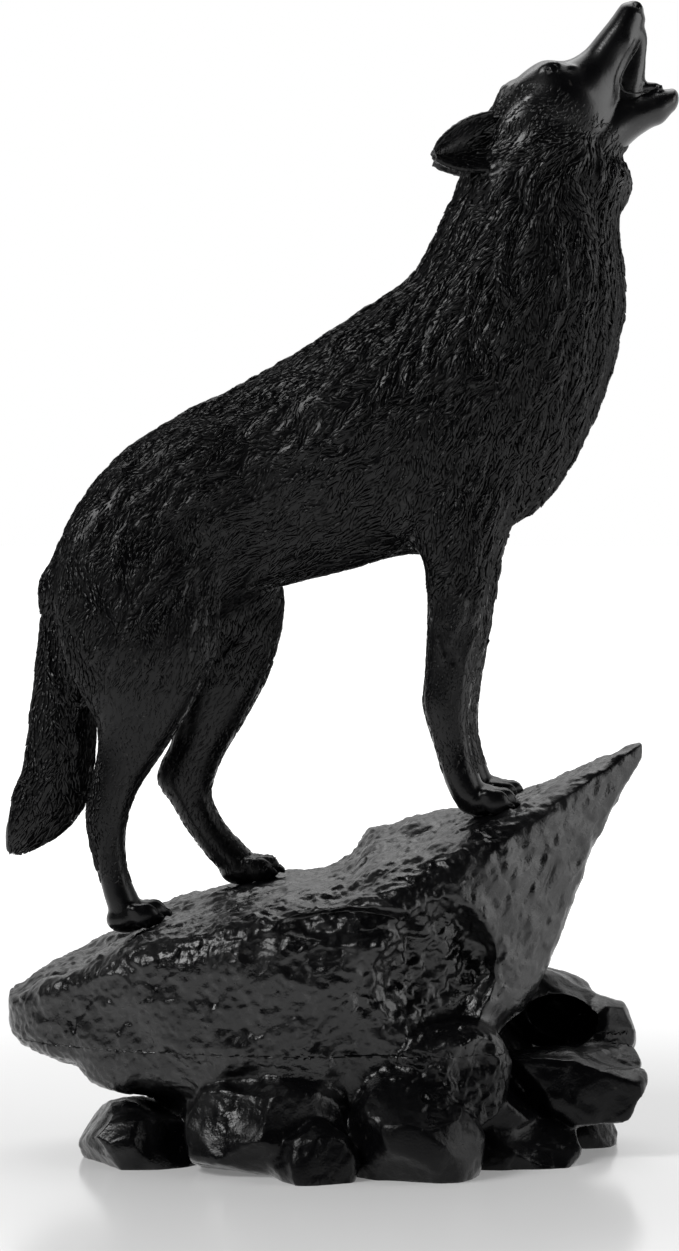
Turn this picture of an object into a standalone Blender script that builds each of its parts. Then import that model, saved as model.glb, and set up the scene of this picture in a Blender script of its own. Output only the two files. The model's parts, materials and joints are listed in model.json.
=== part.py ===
"""Howling wolf on a crag: a figurine cast in one piece.

The wolf faces +X, its right side faces -Y and +Z is up. The origin is the middle of the flat
foot of the crag. Tables of stations are in millimetres and are turned to metres by MM.
The wolf is lofted through outline stations, the crag is a slab laid on boulders, and the two
are fused into one closed solid with a flat foot.
"""

import math

import bmesh
import bpy
import numpy as np
from mathutils import Matrix, Vector, noise
from mathutils.bvhtree import BVHTree

MM = 0.001

# The figurine's outside size, and the size at which its tables are drawn
FIGURE_LENGTH = 147.0 * MM
FIGURE_DEPTH = 90.9 * MM
FIGURE_HEIGHT = 250.8 * MM
DRAWN_SIZE = (147.0, 90.9, 250.8)

# The crag; CHIP_EDGE is how sharply one chip gives way to the next
FOOT_Z = 0.0
PAW_SINK = 1.2 * MM
CHIP_SIZE = 13.0 * MM
CHIP_RELIEF = 1.9 * MM
CHIP_EDGE = 12.0
WAVE_SIZE = 8.0 * MM
WAVE_RELIEF = 0.6 * MM
LEDGE_DEPTH_NEAR = 38.0 * MM
LEDGE_DEPTH_FAR = 33.0 * MM

# The prow, the part of the slab ahead of the forelegs, is worn smooth from here on
PROW_START = 26.0 * MM
PROW_LENGTH = 14.0 * MM
LEDGE_HEIGHT = 50.0 * MM

# The wolf: widths across the body, from one side to the other
HIP_WIDTH = 28.0 * MM
LOIN_WIDTH = 26.0 * MM
CHEST_WIDTH = 33.0 * MM
NECK_WIDTH = 33.0 * MM
SKULL_WIDTH = 24.0 * MM
MUZZLE_WIDTH = 12.5 * MM
JAW_WIDTH = 10.5 * MM
MOUTH_WIDTH = 7.6 * MM
TAIL_WIDTH = 14.0 * MM
THIGH_WIDTH = 15.0 * MM
SHANK_WIDTH = 8.2 * MM
FORELEG_WIDTH = 9.4 * MM

# How far apart the legs stand, and how far the far foreleg stands ahead of the near one
HIND_TRACK = 20.0 * MM
FORE_TRACK = 18.0 * MM
FORE_STRIDE = 2.4 * MM

# Paws
PAW_LENGTH = 13.0 * MM
PAW_WIDTH = 11.0 * MM
PAW_HEIGHT = 6.6 * MM
CLAW_LENGTH = 2.2 * MM

# Ears, eyes and nose
EAR_LENGTH = 14.5 * MM
EAR_WIDTH = 11.5 * MM
EAR_WALL = 1.5 * MM
EAR_CUP = 4.6 * MM
EAR_SPACING = 21.0 * MM
EAR_SPLAY = 3.6 * MM
EYE_RADIUS = 1.7 * MM
EYE_SPACING = 15.6 * MM
LIP_RADIUS = 0.6 * MM

# Locks of the coat: how far apart they lie, their length, breadth and height, and how far the
# tip of each stands out
LOCK_SPACING = 5.2 * MM
LOCK_LENGTH = 9.5 * MM
LOCK_BREADTH = 3.8 * MM
LOCK_HEIGHT = 0.75 * MM
LOCK_LIFT = 0.75 * MM

# Where the coat changes: behind the rump, at the elbow, at the withers and under the face, and
# the length over which it does
RUMP_X = -54.0 * MM
ELBOW_Z = 118.0 * MM
WITHERS_X = 10.0 * MM
CHEEK_X = 40.0 * MM
CHEEK_Z = 224.0 * MM
COAT_FADE = 20.0 * MM

# How far the broad forms, the fine ones and the boulders run into one another, in passes over
# the skin
BODY_BLENDING = 45
FINE_BLENDING = 12
CRAG_BLENDING = 12

# Mesh fineness
BODY_VOXEL = 1.0 * MM
WOLF_VOXEL = 0.5 * MM
CRAG_VOXEL = 0.9 * MM
WOLF_TRIANGLES = 7850
CRAG_TRIANGLES = 3700

COAT_COLOUR = (0.012, 0.012, 0.014, 1.0)
COAT_ROUGHNESS = 0.3

# Outline stations in millimetres: the front or upper point (x, z), the back or lower point
# (x, z), and the half width as a share of the width named for that form.
TRUNK = (
    ((-63.2, 128.0), (-58.5, 113.0), HIP_WIDTH, 0.40),
    ((-57.0, 140.5), (-50.0, 108.0), HIP_WIDTH, 0.78),
    ((-48.0, 151.4), (-37.0, 112.0), HIP_WIDTH, 0.98),
    ((-36.9, 159.4), (-23.0, 120.0), LOIN_WIDTH, 1.04),
    ((-24.0, 166.0), (-11.0, 124.0), LOIN_WIDTH, 0.98),
    ((-11.0, 173.0), (1.0, 127.0), CHEST_WIDTH, 0.88),
    ((1.0, 180.5), (13.0, 130.5), CHEST_WIDTH, 0.97),
    ((10.0, 186.5), (25.0, 131.5), CHEST_WIDTH, 1.00),
    ((16.5, 191.5), (38.5, 137.5), CHEST_WIDTH, 1.02),
    ((20.0, 197.0), (48.0, 146.5), CHEST_WIDTH, 1.02),
    ((23.0, 203.5), (56.5, 164.0), NECK_WIDTH, 1.02),
    ((25.5, 208.5), (61.5, 183.5), NECK_WIDTH, 1.00),
    ((27.0, 213.5), (60.3, 198.0), NECK_WIDTH, 0.93),
    ((28.5, 217.2), (59.8, 204.6), NECK_WIDTH, 0.88),
    ((30.5, 220.5), (63.2, 211.0), NECK_WIDTH, 0.83),
    ((34.0, 229.0), (60.4, 217.5), SKULL_WIDTH, 1.00),
)
SKULL = (
    ((32.0, 226.0), (57.0, 213.0), SKULL_WIDTH, 0.98),
    ((37.5, 233.0), (59.5, 219.0), SKULL_WIDTH, 1.00),
    ((43.5, 237.5), (60.5, 224.0), SKULL_WIDTH, 0.88),
    ((49.0, 237.7), (61.0, 229.0), MUZZLE_WIDTH, 1.30),
    ((53.0, 239.8), (61.5, 233.0), MUZZLE_WIDTH, 1.06),
    ((56.0, 243.2), (63.0, 237.5), MUZZLE_WIDTH, 0.95),
    ((58.6, 246.4), (65.2, 242.0), MUZZLE_WIDTH, 0.86),
    ((60.6, 249.2), (66.2, 245.5), MUZZLE_WIDTH, 0.70),
)
JAW = (
    ((55.0, 226.0), (58.0, 214.0), JAW_WIDTH, 1.70),
    ((60.5, 229.8), (63.5, 220.0), JAW_WIDTH, 1.20),
    ((65.5, 230.2), (67.5, 223.0), JAW_WIDTH, 0.98),
    ((69.0, 231.4), (70.2, 224.2), JAW_WIDTH, 0.88),
    ((71.6, 231.6), (72.2, 226.4), JAW_WIDTH, 0.70),
)
MOUTH = (
    ((65.6, 246.2), (61.0, 245.4), MOUTH_WIDTH, 0.84),
    ((67.2, 242.4), (61.0, 241.4), MOUTH_WIDTH, 0.92),
    ((67.2, 238.4), (60.0, 237.0), MOUTH_WIDTH, 0.98),
    ((66.6, 234.4), (59.0, 233.0), MOUTH_WIDTH, 1.04),
    ((65.9, 230.0), (58.0, 229.0), MOUTH_WIDTH, 1.06),
)
NEAR_HIND_LEG = (
    ((-38.0, 148.0), (-52.0, 146.0), THIGH_WIDTH, 0.50),
    ((-30.0, 134.0), (-59.0, 135.0), THIGH_WIDTH, 0.86),
    ((-26.5, 121.0), (-61.0, 122.0), THIGH_WIDTH, 1.04),
    ((-26.5, 111.5), (-59.5, 109.5), THIGH_WIDTH, 1.02),
    ((-29.5, 103.0), (-56.0, 101.0), THIGH_WIDTH, 0.90),
    ((-34.0, 94.5), (-52.5, 94.0), THIGH_WIDTH, 0.74),
    ((-39.5, 86.0), (-52.5, 87.0), SHANK_WIDTH, 1.12),
    ((-43.5, 80.0), (-54.0, 80.5), SHANK_WIDTH, 1.00),
    ((-46.0, 73.0), (-55.0, 74.0), SHANK_WIDTH, 0.95),
    ((-46.5, 67.0), (-54.0, 67.0), SHANK_WIDTH, 0.88),
    ((-45.6, 61.0), (-52.5, 61.0), SHANK_WIDTH, 0.88),
    ((-43.5, 56.0), (-51.0, 55.5), SHANK_WIDTH, 1.02),
    ((-42.0, 52.5), (-49.5, 51.0), SHANK_WIDTH, 1.10),
)
FAR_HIND_LEG = (
    ((-26.0, 148.0), (-42.0, 147.0), THIGH_WIDTH, 0.50),
    ((-17.0, 134.0), (-43.5, 135.0), THIGH_WIDTH, 0.86),
    ((-12.5, 122.5), (-42.0, 122.0), THIGH_WIDTH, 1.00),
    ((-13.0, 113.0), (-40.0, 110.5), THIGH_WIDTH, 0.94),
    ((-16.0, 102.5), (-38.0, 99.5), THIGH_WIDTH, 0.84),
    ((-21.0, 93.0), (-37.0, 89.5), THIGH_WIDTH, 0.68),
    ((-25.5, 85.5), (-39.5, 84.0), SHANK_WIDTH, 1.08),
    ((-28.0, 79.0), (-40.5, 79.5), SHANK_WIDTH, 1.00),
    ((-28.0, 75.5), (-37.5, 75.0), SHANK_WIDTH, 0.92),
    ((-25.5, 70.5), (-34.0, 69.0), SHANK_WIDTH, 0.88),
    ((-21.5, 66.0), (-29.5, 63.0), SHANK_WIDTH, 0.98),
    ((-18.5, 62.8), (-26.0, 59.5), SHANK_WIDTH, 1.08),
)
FORELEG = (
    ((36.0, 164.0), (14.0, 160.0), FORELEG_WIDTH, 0.90),
    ((38.0, 150.0), (11.5, 146.0), FORELEG_WIDTH, 1.24),
    ((35.4, 138.5), (15.5, 136.5), FORELEG_WIDTH, 1.32),
    ((32.8, 129.0), (18.6, 128.5), FORELEG_WIDTH, 1.16),
    ((31.6, 122.5), (19.0, 122.5), FORELEG_WIDTH, 1.04),
    ((30.5, 114.0), (19.0, 114.0), FORELEG_WIDTH, 0.98),
    ((29.5, 105.5), (18.5, 105.5), FORELEG_WIDTH, 0.94),
    ((28.5, 98.0), (18.0, 98.0), FORELEG_WIDTH, 0.96),
    ((28.3, 92.5), (19.6, 92.0), FORELEG_WIDTH, 0.86),
    ((29.0, 87.5), (21.0, 87.5), FORELEG_WIDTH, 0.82),
    ((30.5, 82.8), (22.6, 82.0), FORELEG_WIDTH, 0.92),
    ((32.0, 79.0), (24.5, 77.5), FORELEG_WIDTH, 1.02),
)
TAIL = (
    ((-55.5, 138.0), (-45.0, 130.0), TAIL_WIDTH, 0.50),
    ((-62.6, 127.6), (-50.5, 121.0), TAIL_WIDTH, 0.60),
    ((-65.0, 115.5), (-53.0, 110.5), TAIL_WIDTH, 0.80),
    ((-66.5, 103.5), (-53.5, 100.5), TAIL_WIDTH, 0.94),
    ((-67.6, 94.0), (-53.5, 90.5), TAIL_WIDTH, 1.00),
    ((-69.0, 84.5), (-54.5, 82.0), TAIL_WIDTH, 0.96),
    ((-71.5, 76.5), (-57.0, 74.0), TAIL_WIDTH, 0.84),
    ((-73.4, 70.0), (-62.0, 68.6), TAIL_WIDTH, 0.64),
    ((-73.4, 66.4), (-68.0, 65.4), TAIL_WIDTH, 0.36),
)

# Paws: where the heel rests on the crag (x, z) and how steeply the sole climbs, in degrees
NEAR_HIND_PAW = ((-50.5, 49.0), 14.0)
FAR_HIND_PAW = ((-26.5, 57.6), 8.0)
NEAR_FORE_PAW = ((25.0, 75.4), 2.0)

# The slab that the wolf stands on: x, the height of its far and near upper edges, the height
# of its underside, and its reach to the near and far side as shares of the ledge depths
SLAB = (
    (-72.9, 33.2, 32.8, 30.2, 0.08, 0.10),
    (-71.0, 34.6, 34.0, 24.8, 0.22, 0.26),
    (-66.0, 37.6, 37.0, 21.8, 0.38, 0.42),
    (-59.0, 41.8, 41.2, 19.6, 0.54, 0.56),
    (-50.0, 46.3, 45.8, 16.4, 0.70, 0.72),
    (-38.0, 52.0, 50.5, 13.0, 0.84, 0.88),
    (-24.0, 57.5, 54.5, 11.0, 0.94, 0.97),
    (-10.0, 59.0, 56.5, 9.0, 1.00, 1.03),
    (1.0, 61.5, 59.0, 8.0, 1.00, 1.03),
    (7.0, 69.0, 61.5, 8.0, 0.98, 1.01),
    (14.0, 71.6, 64.5, 10.0, 0.94, 0.97),
    (26.0, 73.5, 71.0, 16.0, 0.82, 0.85),
    (35.0, 75.8, 74.5, 27.0, 0.68, 0.70),
    (43.8, 79.2, 78.2, 38.0, 0.50, 0.52),
    (51.4, 82.6, 82.0, 56.5, 0.34, 0.36),
    (58.8, 85.9, 85.5, 74.0, 0.18, 0.19),
    (66.2, 89.4, 89.2, 86.0, 0.05, 0.06),
)

# Boulders: centre and half size (x, y, z), and how square they are (0 round, 1 a block)
BOULDERS = (
    ((5.0, 0.0, 14.0), (46.0, 32.0, 19.0), 0.5),
    ((-43.0, -18.5, 4.2), (13.5, 13.5, 9.0), 0.3),
    ((-15.0, -31.0, 8.5), (18.0, 14.0, 11.5), 0.5),
    ((-5.5, -41.0, 2.8), (9.6, 9.6, 10.0), 0.1),
    ((16.0, -35.0, 7.0), (14.5, 14.5, 16.5), 0.1),
    ((24.0, -26.0, 20.0), (13.0, 12.0, 12.5), 0.3),
    ((37.0, -17.0, 2.0), (17.0, 14.0, 8.5), 0.6),
    ((50.5, -9.0, 15.2), (16.6, 12.0, 8.4), 0.9),
    ((54.0, 7.0, 2.0), (8.0, 12.0, 8.0), 0.3),
    ((46.5, 12.0, 29.0), (11.0, 10.0, 9.5), 0.4),
    ((57.0, 8.0, 22.0), (8.0, 11.0, 10.5), 0.4),
    ((-30.0, 18.0, 5.0), (14.0, 14.0, 9.0), 0.3),
    ((-17.0, 27.0, 9.0), (17.0, 12.0, 12.0), 0.5),
    ((10.0, 29.0, 8.0), (15.0, 12.0, 13.5), 0.2),
    ((34.0, 22.0, 8.0), (16.0, 14.0, 12.0), 0.4),
)

# Hollows worn into the crag's near side: centre, half size, depth
HOLLOWS = (
    ((22.0, -34.0, 43.0), (14.5, 16.0, 15.5), 6.5),
    ((3.0, -38.0, 53.5), (18.0, 12.0, 3.6), 3.4),
    ((48.5, -12.0, 28.0), (8.8, 26.0, 5.8), 18.0),
)

# Places on the head (x, z): the eye, and along each lip with the half width there as a share
# of the jaw's. Muscles at the shoulder and the cheek: place, half size and tilt
EYE_PLACE = (45.9, 233.6)
LIP = (
    (66.3, 245.6, 0.52),
    (64.6, 240.6, 0.67),
    (62.3, 237.0, 0.77),
    (60.7, 233.6, 0.84),
    (61.3, 231.2, 0.84),
    (63.6, 230.4, 0.81),
    (67.0, 231.0, 0.71),
    (70.4, 231.9, 0.60),
)
SHOULDER = ((22.0, 160.0), (12.0, 7.0, 22.0), -22.0)
CHEEK = ((45.0, 216.0), (9.5, 4.0, 7.0), 25.0)

# Which way the coat lies: a place in the side view (x, z), and the direction there
COAT_FLOW = (
    ((58, 243), (-0.8, -0.6)),
    ((50, 234), (-0.75, -0.66)),
    ((40, 229), (-0.9, -0.44)),
    ((45, 220), (-0.75, -0.66)),
    ((54, 217), (-0.35, -0.94)),
    ((33, 219), (-0.9, -0.44)),
    ((28, 206), (-0.55, -0.83)),
    ((40, 205), (-0.25, -0.97)),
    ((50, 208), (0.35, -0.94)),
    ((58, 203), (0.12, -0.99)),
    ((22, 192), (-0.62, -0.78)),
    ((36, 186), (-0.3, -0.95)),
    ((54, 180), (0.05, -1.0)),
    ((9, 180), (-0.75, -0.66)),
    ((24, 168), (-0.5, -0.87)),
    ((44, 158), (-0.1, -0.99)),
    ((38, 143), (-0.3, -0.95)),
    ((-6, 167), (-0.85, -0.52)),
    ((5, 148), (-0.72, -0.7)),
    ((24, 142), (-0.2, -0.98)),
    ((-25, 157), (-0.88, -0.48)),
    ((-18, 137), (-0.85, -0.53)),
    ((2, 131), (-0.9, -0.43)),
    ((-45, 146), (-0.75, -0.66)),
    ((-36, 128), (-0.5, -0.87)),
    ((-58, 128), (-0.25, -0.97)),
    ((-28, 116), (-0.15, -0.99)),
    ((-46, 108), (-0.3, -0.95)),
    ((-60, 105), (-0.12, -0.99)),
    ((-64, 88), (-0.22, -0.97)),
    ((-70, 73), (-0.45, -0.89)),
    ((-48, 80), (0.05, -1.0)),
    ((-30, 90), (-0.45, -0.89)),
    ((24, 115), (-0.05, -1.0)),
    ((25, 85), (0.2, -0.98)),
)

# A lock from root to tip: where along its length, how broad and how high it is there
LOCK_SHAPE = (
    (-0.42, 0.0, -0.35),
    (-0.2, 0.72, 0.72),
    (0.12, 1.0, 1.0),
    (0.42, 0.58, 0.85),
    (0.58, 0.0, 0.0),
)


def metres(*values):
    """Millimetres as a vector in metres."""
    return Vector(values) * MM


def clear_scene():
    for obj in list(bpy.data.objects):
        bpy.data.objects.remove(obj)


def add_object(name, mesh):
    obj = bpy.data.objects.new(name, mesh)
    bpy.context.scene.collection.objects.link(obj)
    return obj


def smooth_rows(rows, steps):
    """Rows of numbers as one smooth run through all of them, steps rows for each span."""
    rows = np.array(rows, float)
    padded = np.vstack([2 * rows[0] - rows[1], rows, 2 * rows[-1] - rows[-2]])
    out = []
    for i in range(len(rows) - 1):
        a, b, c, d = padded[i : i + 4]
        for t in np.arange(steps) / steps:
            out.append(
                0.5 * (2 * b + (c - a) * t + (2 * a - 5 * b + 4 * c - d) * t**2)
                + 0.5 * (3 * b - a - 3 * c + d) * t**3
            )
    out.append(rows[-1])
    return np.array(out)


def skin_rings(rings):
    """A closed mesh through rings of points, all with the same number of points."""
    bm = bmesh.new()
    loops = [[bm.verts.new(p) for p in ring] for ring in rings]
    for lower, upper in zip(loops, loops[1:]):
        for i in range(len(lower)):
            j = (i + 1) % len(lower)
            bm.faces.new((lower[i], lower[j], upper[j], upper[i]))
    bm.faces.new(loops[0])
    bm.faces.new(loops[-1])
    bmesh.ops.recalc_face_normals(bm, faces=bm.faces)
    mesh = bpy.data.meshes.new("form")
    bm.to_mesh(mesh)
    bm.free()
    return mesh


def limb(stations, side_y=0.0, root_y=None, shift_x=0.0, egg=0.0, full=1.0, around=28, steps=5):
    """A rounded form lofted through outline stations, with domed ends.

    side_y is how far its middle lies from the wolf's own middle plane, and root_y the same at
    its first stations, which are inside the body. egg makes the upper side the broader one,
    and full below 1 makes the cross-section squarer.
    """
    root_y = side_y if root_y is None else root_y
    rows = []
    for i, (front, back, width, share) in enumerate(stations):
        rooted = max(0.0, 1.0 - i / 3)
        y = side_y + (root_y - side_y) * rooted
        ends = [front[0] * MM + shift_x, front[1] * MM, back[0] * MM + shift_x, back[1] * MM]
        rows.append([*ends, width * share / 2, y])
    rows = smooth_rows(rows, steps)
    angles = np.linspace(0, 2 * math.pi, around, endpoint=False)
    rings = []
    for fx, fz, bx, bz, half, y in rows:
        middle = np.array([(fx + bx) / 2, y, (fz + bz) / 2])
        axis = np.array([(fx - bx) / 2, 0.0, (fz - bz) / 2])
        across = half * (1 + egg * np.cos(angles))
        ring = middle + np.outer(np.cos(angles), axis)
        ring[:, 1] += across * np.sign(np.sin(angles)) * np.abs(np.sin(angles)) ** full
        rings.append(ring)
    return skin_rings([*dome(rings[0], rings[1])[::-1], *rings, *dome(rings[-1], rings[-2])])


def dome(end, before):
    """Rings that close an end with a rounded cap, as far out as the end is thick."""
    middle = end.mean(axis=0)
    outward = middle - before.mean(axis=0)
    outward /= np.linalg.norm(outward)
    reach = 0.8 * np.linalg.norm(end - middle, axis=1).min()
    caps = []
    for turn in (0.35, 0.7, 1.05, 1.35):
        caps.append(middle + (end - middle) * math.cos(turn) + outward * reach * math.sin(turn))
    return caps


def ball(centre, radii, tilt_deg=0.0, yaw_deg=0.0):
    """An ellipsoid, tilted in the wolf's side view and turned about the vertical."""
    bm = bmesh.new()
    bmesh.ops.create_icosphere(bm, subdivisions=4, radius=1.0)
    place = (
        Matrix.Translation(centre)
        @ Matrix.Rotation(math.radians(yaw_deg), 4, "Z")
        @ Matrix.Rotation(-math.radians(tilt_deg), 4, "Y")
        @ Matrix.Diagonal((*radii, 1.0))
    )
    bmesh.ops.transform(bm, matrix=place, verts=bm.verts)
    mesh = bpy.data.meshes.new("ball")
    bm.to_mesh(mesh)
    bm.free()
    return mesh


def tube(points, radius):
    """A rounded bead along points, for lips and rims."""
    points = [Vector(p) for p in points]
    rings = []
    for i, p in enumerate(points):
        along = points[min(i + 1, len(points) - 1)] - points[max(i - 1, 0)]
        turn = along.to_track_quat("Z", "Y")
        ends = 0.35 if i in (0, len(points) - 1) else 1.0
        ring = []
        for k in range(10):
            a = 2 * math.pi * k / 10
            ring.append(p + turn @ Vector((math.cos(a), math.sin(a), 0.0)) * radius * ends)
        rings.append(ring)
    return skin_rings(rings)


def ear(side):
    """A pointed, cupped leaf that lies back along the neck, hollow towards its own side."""
    root = metres(34.5, 0, 220.6)
    tip = Vector((root.x - EAR_LENGTH, 0, root.z - 0.26 * EAR_LENGTH))
    lengthwise = (tip - root).normalized()
    crosswise = Vector((-lengthwise.z, 0, lengthwise.x))
    outward = Vector((0, side, 0))
    columns, across = 16, 15
    skins = []
    for layer in (1, -1):
        rows = []
        for i in range(columns):
            u = i / (columns - 1)
            half = 0.5 * EAR_WIDTH * (1 - 0.97 * u) ** 0.75 * (1 + 0.9 * u)
            row = []
            for k in range(across):
                v = 2 * k / (across - 1) - 1
                hollow = EAR_CUP * (1 - v * v) * (1 - 0.8 * u)
                wall = 0.5 * EAR_WALL * math.sqrt(max(0.05, 1 - 0.8 * abs(v) ** 4))
                point = root + lengthwise * EAR_LENGTH * u + crosswise * half * v
                splay = 0.5 * EAR_SPACING + EAR_SPLAY * u**1.4
                row.append(point + outward * (splay - hollow + layer * wall))
            rows.append(row)
        skins.append(rows)
    rings = [skins[0][i] + skins[1][i][::-1] for i in range(columns)]
    return skin_rings(rings)


def paw(heel, climb_deg, y, shift_x=0.0):
    """Four toes with claws, spread ahead of a rounded pad."""
    heel_x, heel_z = heel
    climb = math.radians(climb_deg)
    forward = Vector((math.cos(climb), 0, math.sin(climb)))
    up = Vector((-math.sin(climb), 0, math.cos(climb)))
    base = Vector((heel_x * MM + shift_x, y, heel_z * MM)) - up * PAW_SINK
    pad_centre = base + forward * 0.42 * PAW_LENGTH + up * 0.46 * PAW_HEIGHT
    forms = [ball(pad_centre, (0.40 * PAW_LENGTH, 0.42 * PAW_WIDTH, 0.54 * PAW_HEIGHT), climb_deg)]
    for place, reach in ((-1.5, 0.70), (-0.5, 0.82), (0.5, 0.82), (1.5, 0.70)):
        across = place * PAW_WIDTH / 4.1
        knuckle = base + forward * reach * PAW_LENGTH + up * 0.44 * PAW_HEIGHT
        knuckle.y += across
        size = (0.24 * PAW_LENGTH, 0.145 * PAW_WIDTH, 0.46 * PAW_HEIGHT)
        forms.append(ball(knuckle, size, climb_deg - 18, -4 * place))
        claw = knuckle + forward * 0.24 * PAW_LENGTH - up * 0.12 * PAW_HEIGHT
        forms.append(ball(claw, (0.5 * CLAW_LENGTH, 0.26 * CLAW_LENGTH, 0.3 * CLAW_LENGTH), -35))
    return forms


def face(side):
    """One side of the face: brow, eye, cheek, lips and ear."""
    eye = metres(EYE_PLACE[0], 0, EYE_PLACE[1])
    eye.y = side * EYE_SPACING / 2
    brow = eye + Vector((-0.8 * EYE_RADIUS, -0.3 * side * EYE_RADIUS, EYE_RADIUS))
    cheek = eye + Vector((-1.8 * EYE_RADIUS, 0.8 * side * EYE_RADIUS, -4.6 * EYE_RADIUS))
    points = [Vector((x * MM, side * JAW_WIDTH * w * 0.62, z * MM)) for x, z, w in LIP]
    return [
        ball(eye, (EYE_RADIUS * 1.25, EYE_RADIUS, EYE_RADIUS), 20),
        ball(brow, (2.5 * EYE_RADIUS, 1.1 * EYE_RADIUS, 0.85 * EYE_RADIUS), 24),
        ball(cheek, (3.2 * EYE_RADIUS, 1.8 * EYE_RADIUS, 2.7 * EYE_RADIUS), 40),
        tube(smooth_rows(points, 4), LIP_RADIUS),
        ear(side),
    ]


def body_forms():
    """The broad forms, which run into one another with soft creases."""
    hind, fore = HIND_TRACK / 2, FORE_TRACK / 2
    forms = [
        limb(TRUNK, egg=0.08),
        limb(TAIL),
        limb(NEAR_HIND_LEG, -hind, -0.70 * hind),
        limb(FAR_HIND_LEG, hind, 0.70 * hind),
        limb(FORELEG, -fore, -fore),
        limb(FORELEG, fore, fore, FORE_STRIDE),
    ]
    for side in (-1, 1):
        for muscle, offset in ((SHOULDER, 0.31 * CHEST_WIDTH), (CHEEK, 0.31 * NECK_WIDTH)):
            (x, z), half_size, tilt = muscle
            forms.append(ball(Vector((x * MM, side * offset, z * MM)), metres(*half_size), tilt))
    return forms


def fine_forms():
    """The head, the ears and the paws, each a closed mesh that overlaps its neighbours."""
    hind, fore = HIND_TRACK / 2, FORE_TRACK / 2
    forms = [
        limb(SKULL, egg=0.10, full=0.75),
        limb(JAW),
        limb(MOUTH),
        ball(metres(63.7, 0, 248.4), metres(2.4, 2.9, 2.3), 30),
    ]
    forms += paw(*NEAR_HIND_PAW, -hind)
    forms += paw(*FAR_HIND_PAW, hind)
    forms += paw(*NEAR_FORE_PAW, -fore)
    forms += paw(*NEAR_FORE_PAW, fore, FORE_STRIDE)
    for side in (-1, 1):
        forms += face(side)
    return forms


def slab():
    """The tilted slab, lofted along X through squarish cross-sections."""
    rows = []
    for x, far_top, near_top, under, near, far in SLAB:
        near_y, far_y = -near * LEDGE_DEPTH_NEAR, far * LEDGE_DEPTH_FAR
        rows.append([x * MM, far_top * MM, near_top * MM, under * MM, near_y, far_y])
    rings = []
    for x, far_top, near_top, under, near_y, far_y in smooth_rows(rows, 4):
        ring = []
        for k in range(40):
            a = 2 * math.pi * k / 40
            p = math.copysign(abs(math.cos(a)) ** 0.38, math.cos(a))
            q = math.copysign(abs(math.sin(a)) ** 0.38, math.sin(a))
            across, rise = (p + 1) / 2, (q + 1) / 2
            top = near_top + (far_top - near_top) * across
            y = near_y + (far_y - near_y) * across
            y *= 0.86 + 0.14 * rise
            ring.append(Vector((x, y, under + (top - under) * rise)))
        rings.append(ring)
    return skin_rings(rings)


def boulder(centre, half_size, square, seed):
    """A rounded block chipped flat on several sides."""
    bm = bmesh.new()
    bmesh.ops.create_icosphere(bm, subdivisions=5, radius=1.0)
    noise.seed_set(seed)
    cuts = [noise.random_unit_vector() for _ in range(9)]
    depths = [0.74 + 0.2 * noise.random() for _ in cuts]
    for vert in bm.verts:
        widest = max(abs(c) for c in vert.co)
        vert.co *= 1 + 0.7 * square * (1 / widest - 1)
        for cut, depth in zip(cuts, depths):
            over = vert.co.dot(cut) - depth
            if over > 0:
                vert.co -= cut * over
    place = Matrix.Translation(metres(*centre)) @ Matrix.Diagonal((*metres(*half_size), 1.0))
    bmesh.ops.transform(bm, matrix=place, verts=bm.verts)
    mesh = bpy.data.meshes.new("boulder")
    bm.to_mesh(mesh)
    bm.free()
    return mesh


def fuse(name, forms, voxel):
    """One skin round all the forms, at the given voxel size."""
    bm = bmesh.new()
    for mesh in forms:
        bm.from_mesh(mesh)
    joined = bpy.data.meshes.new(name)
    bm.to_mesh(joined)
    bm.free()
    obj = add_object(name, joined)
    remesh = obj.modifiers.new("one_skin", "REMESH")
    remesh.mode = "VOXEL"
    remesh.voxel_size = voxel
    graph = bpy.context.evaluated_depsgraph_get()
    obj.data = bpy.data.meshes.new_from_object(obj.evaluated_get(graph))
    obj.modifiers.clear()
    return obj


def read(mesh, what="co"):
    values = np.empty(len(mesh.vertices) * 3, np.float32)
    mesh.vertices.foreach_get(what, values)
    return values.reshape(-1, 3).astype(float)


def write(mesh, points):
    mesh.vertices.foreach_set("co", points.astype(np.float32).ravel())
    mesh.update()


def relax(mesh, rounds, creases_only):
    """Evens the skin out; with creases_only it only fills inward corners, like a fillet."""
    ends = np.empty(len(mesh.edges) * 2, np.int32)
    mesh.edges.foreach_get("vertices", ends)
    a, b = ends.reshape(-1, 2).T
    count = len(mesh.vertices)
    degree = np.bincount(ends, minlength=count)[:, None]
    points = read(mesh)
    for _ in range(round(rounds)):
        total = np.empty_like(points)
        for axis in range(3):
            total[:, axis] = np.bincount(a, points[b, axis], count)
            total[:, axis] += np.bincount(b, points[a, axis], count)
        pull = total / degree - points
        if creases_only:
            normals = read(mesh, "normal")
            outward = np.maximum((pull * normals).sum(axis=1), 0.0)
            pull = normals * outward[:, None]
        points += 0.6 * pull
        write(mesh, points)


def press_hollows(mesh):
    """Pushes the near side of the crag inwards, towards +Y, round each hollow."""
    for centre, half_size, depth in HOLLOWS:
        points = read(mesh)
        facing = np.clip(-1.6 * read(mesh, "normal")[:, 1], 0, 1)
        offset = (points - np.array(metres(*centre))) / (np.array(half_size) * MM)
        share = np.clip(1.5 - 1.5 * np.linalg.norm(offset, axis=1) ** 3, 0, 1)
        points[:, 1] += share * facing * depth * MM
        write(mesh, points)
        relax(mesh, 2, creases_only=False)


def ramp(value, start, end):
    """0 up to start, 1 from end on, and straight between them, for numbers and for arrays."""
    return np.clip((value - start) / (end - start), 0.0, 1.0)


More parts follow.
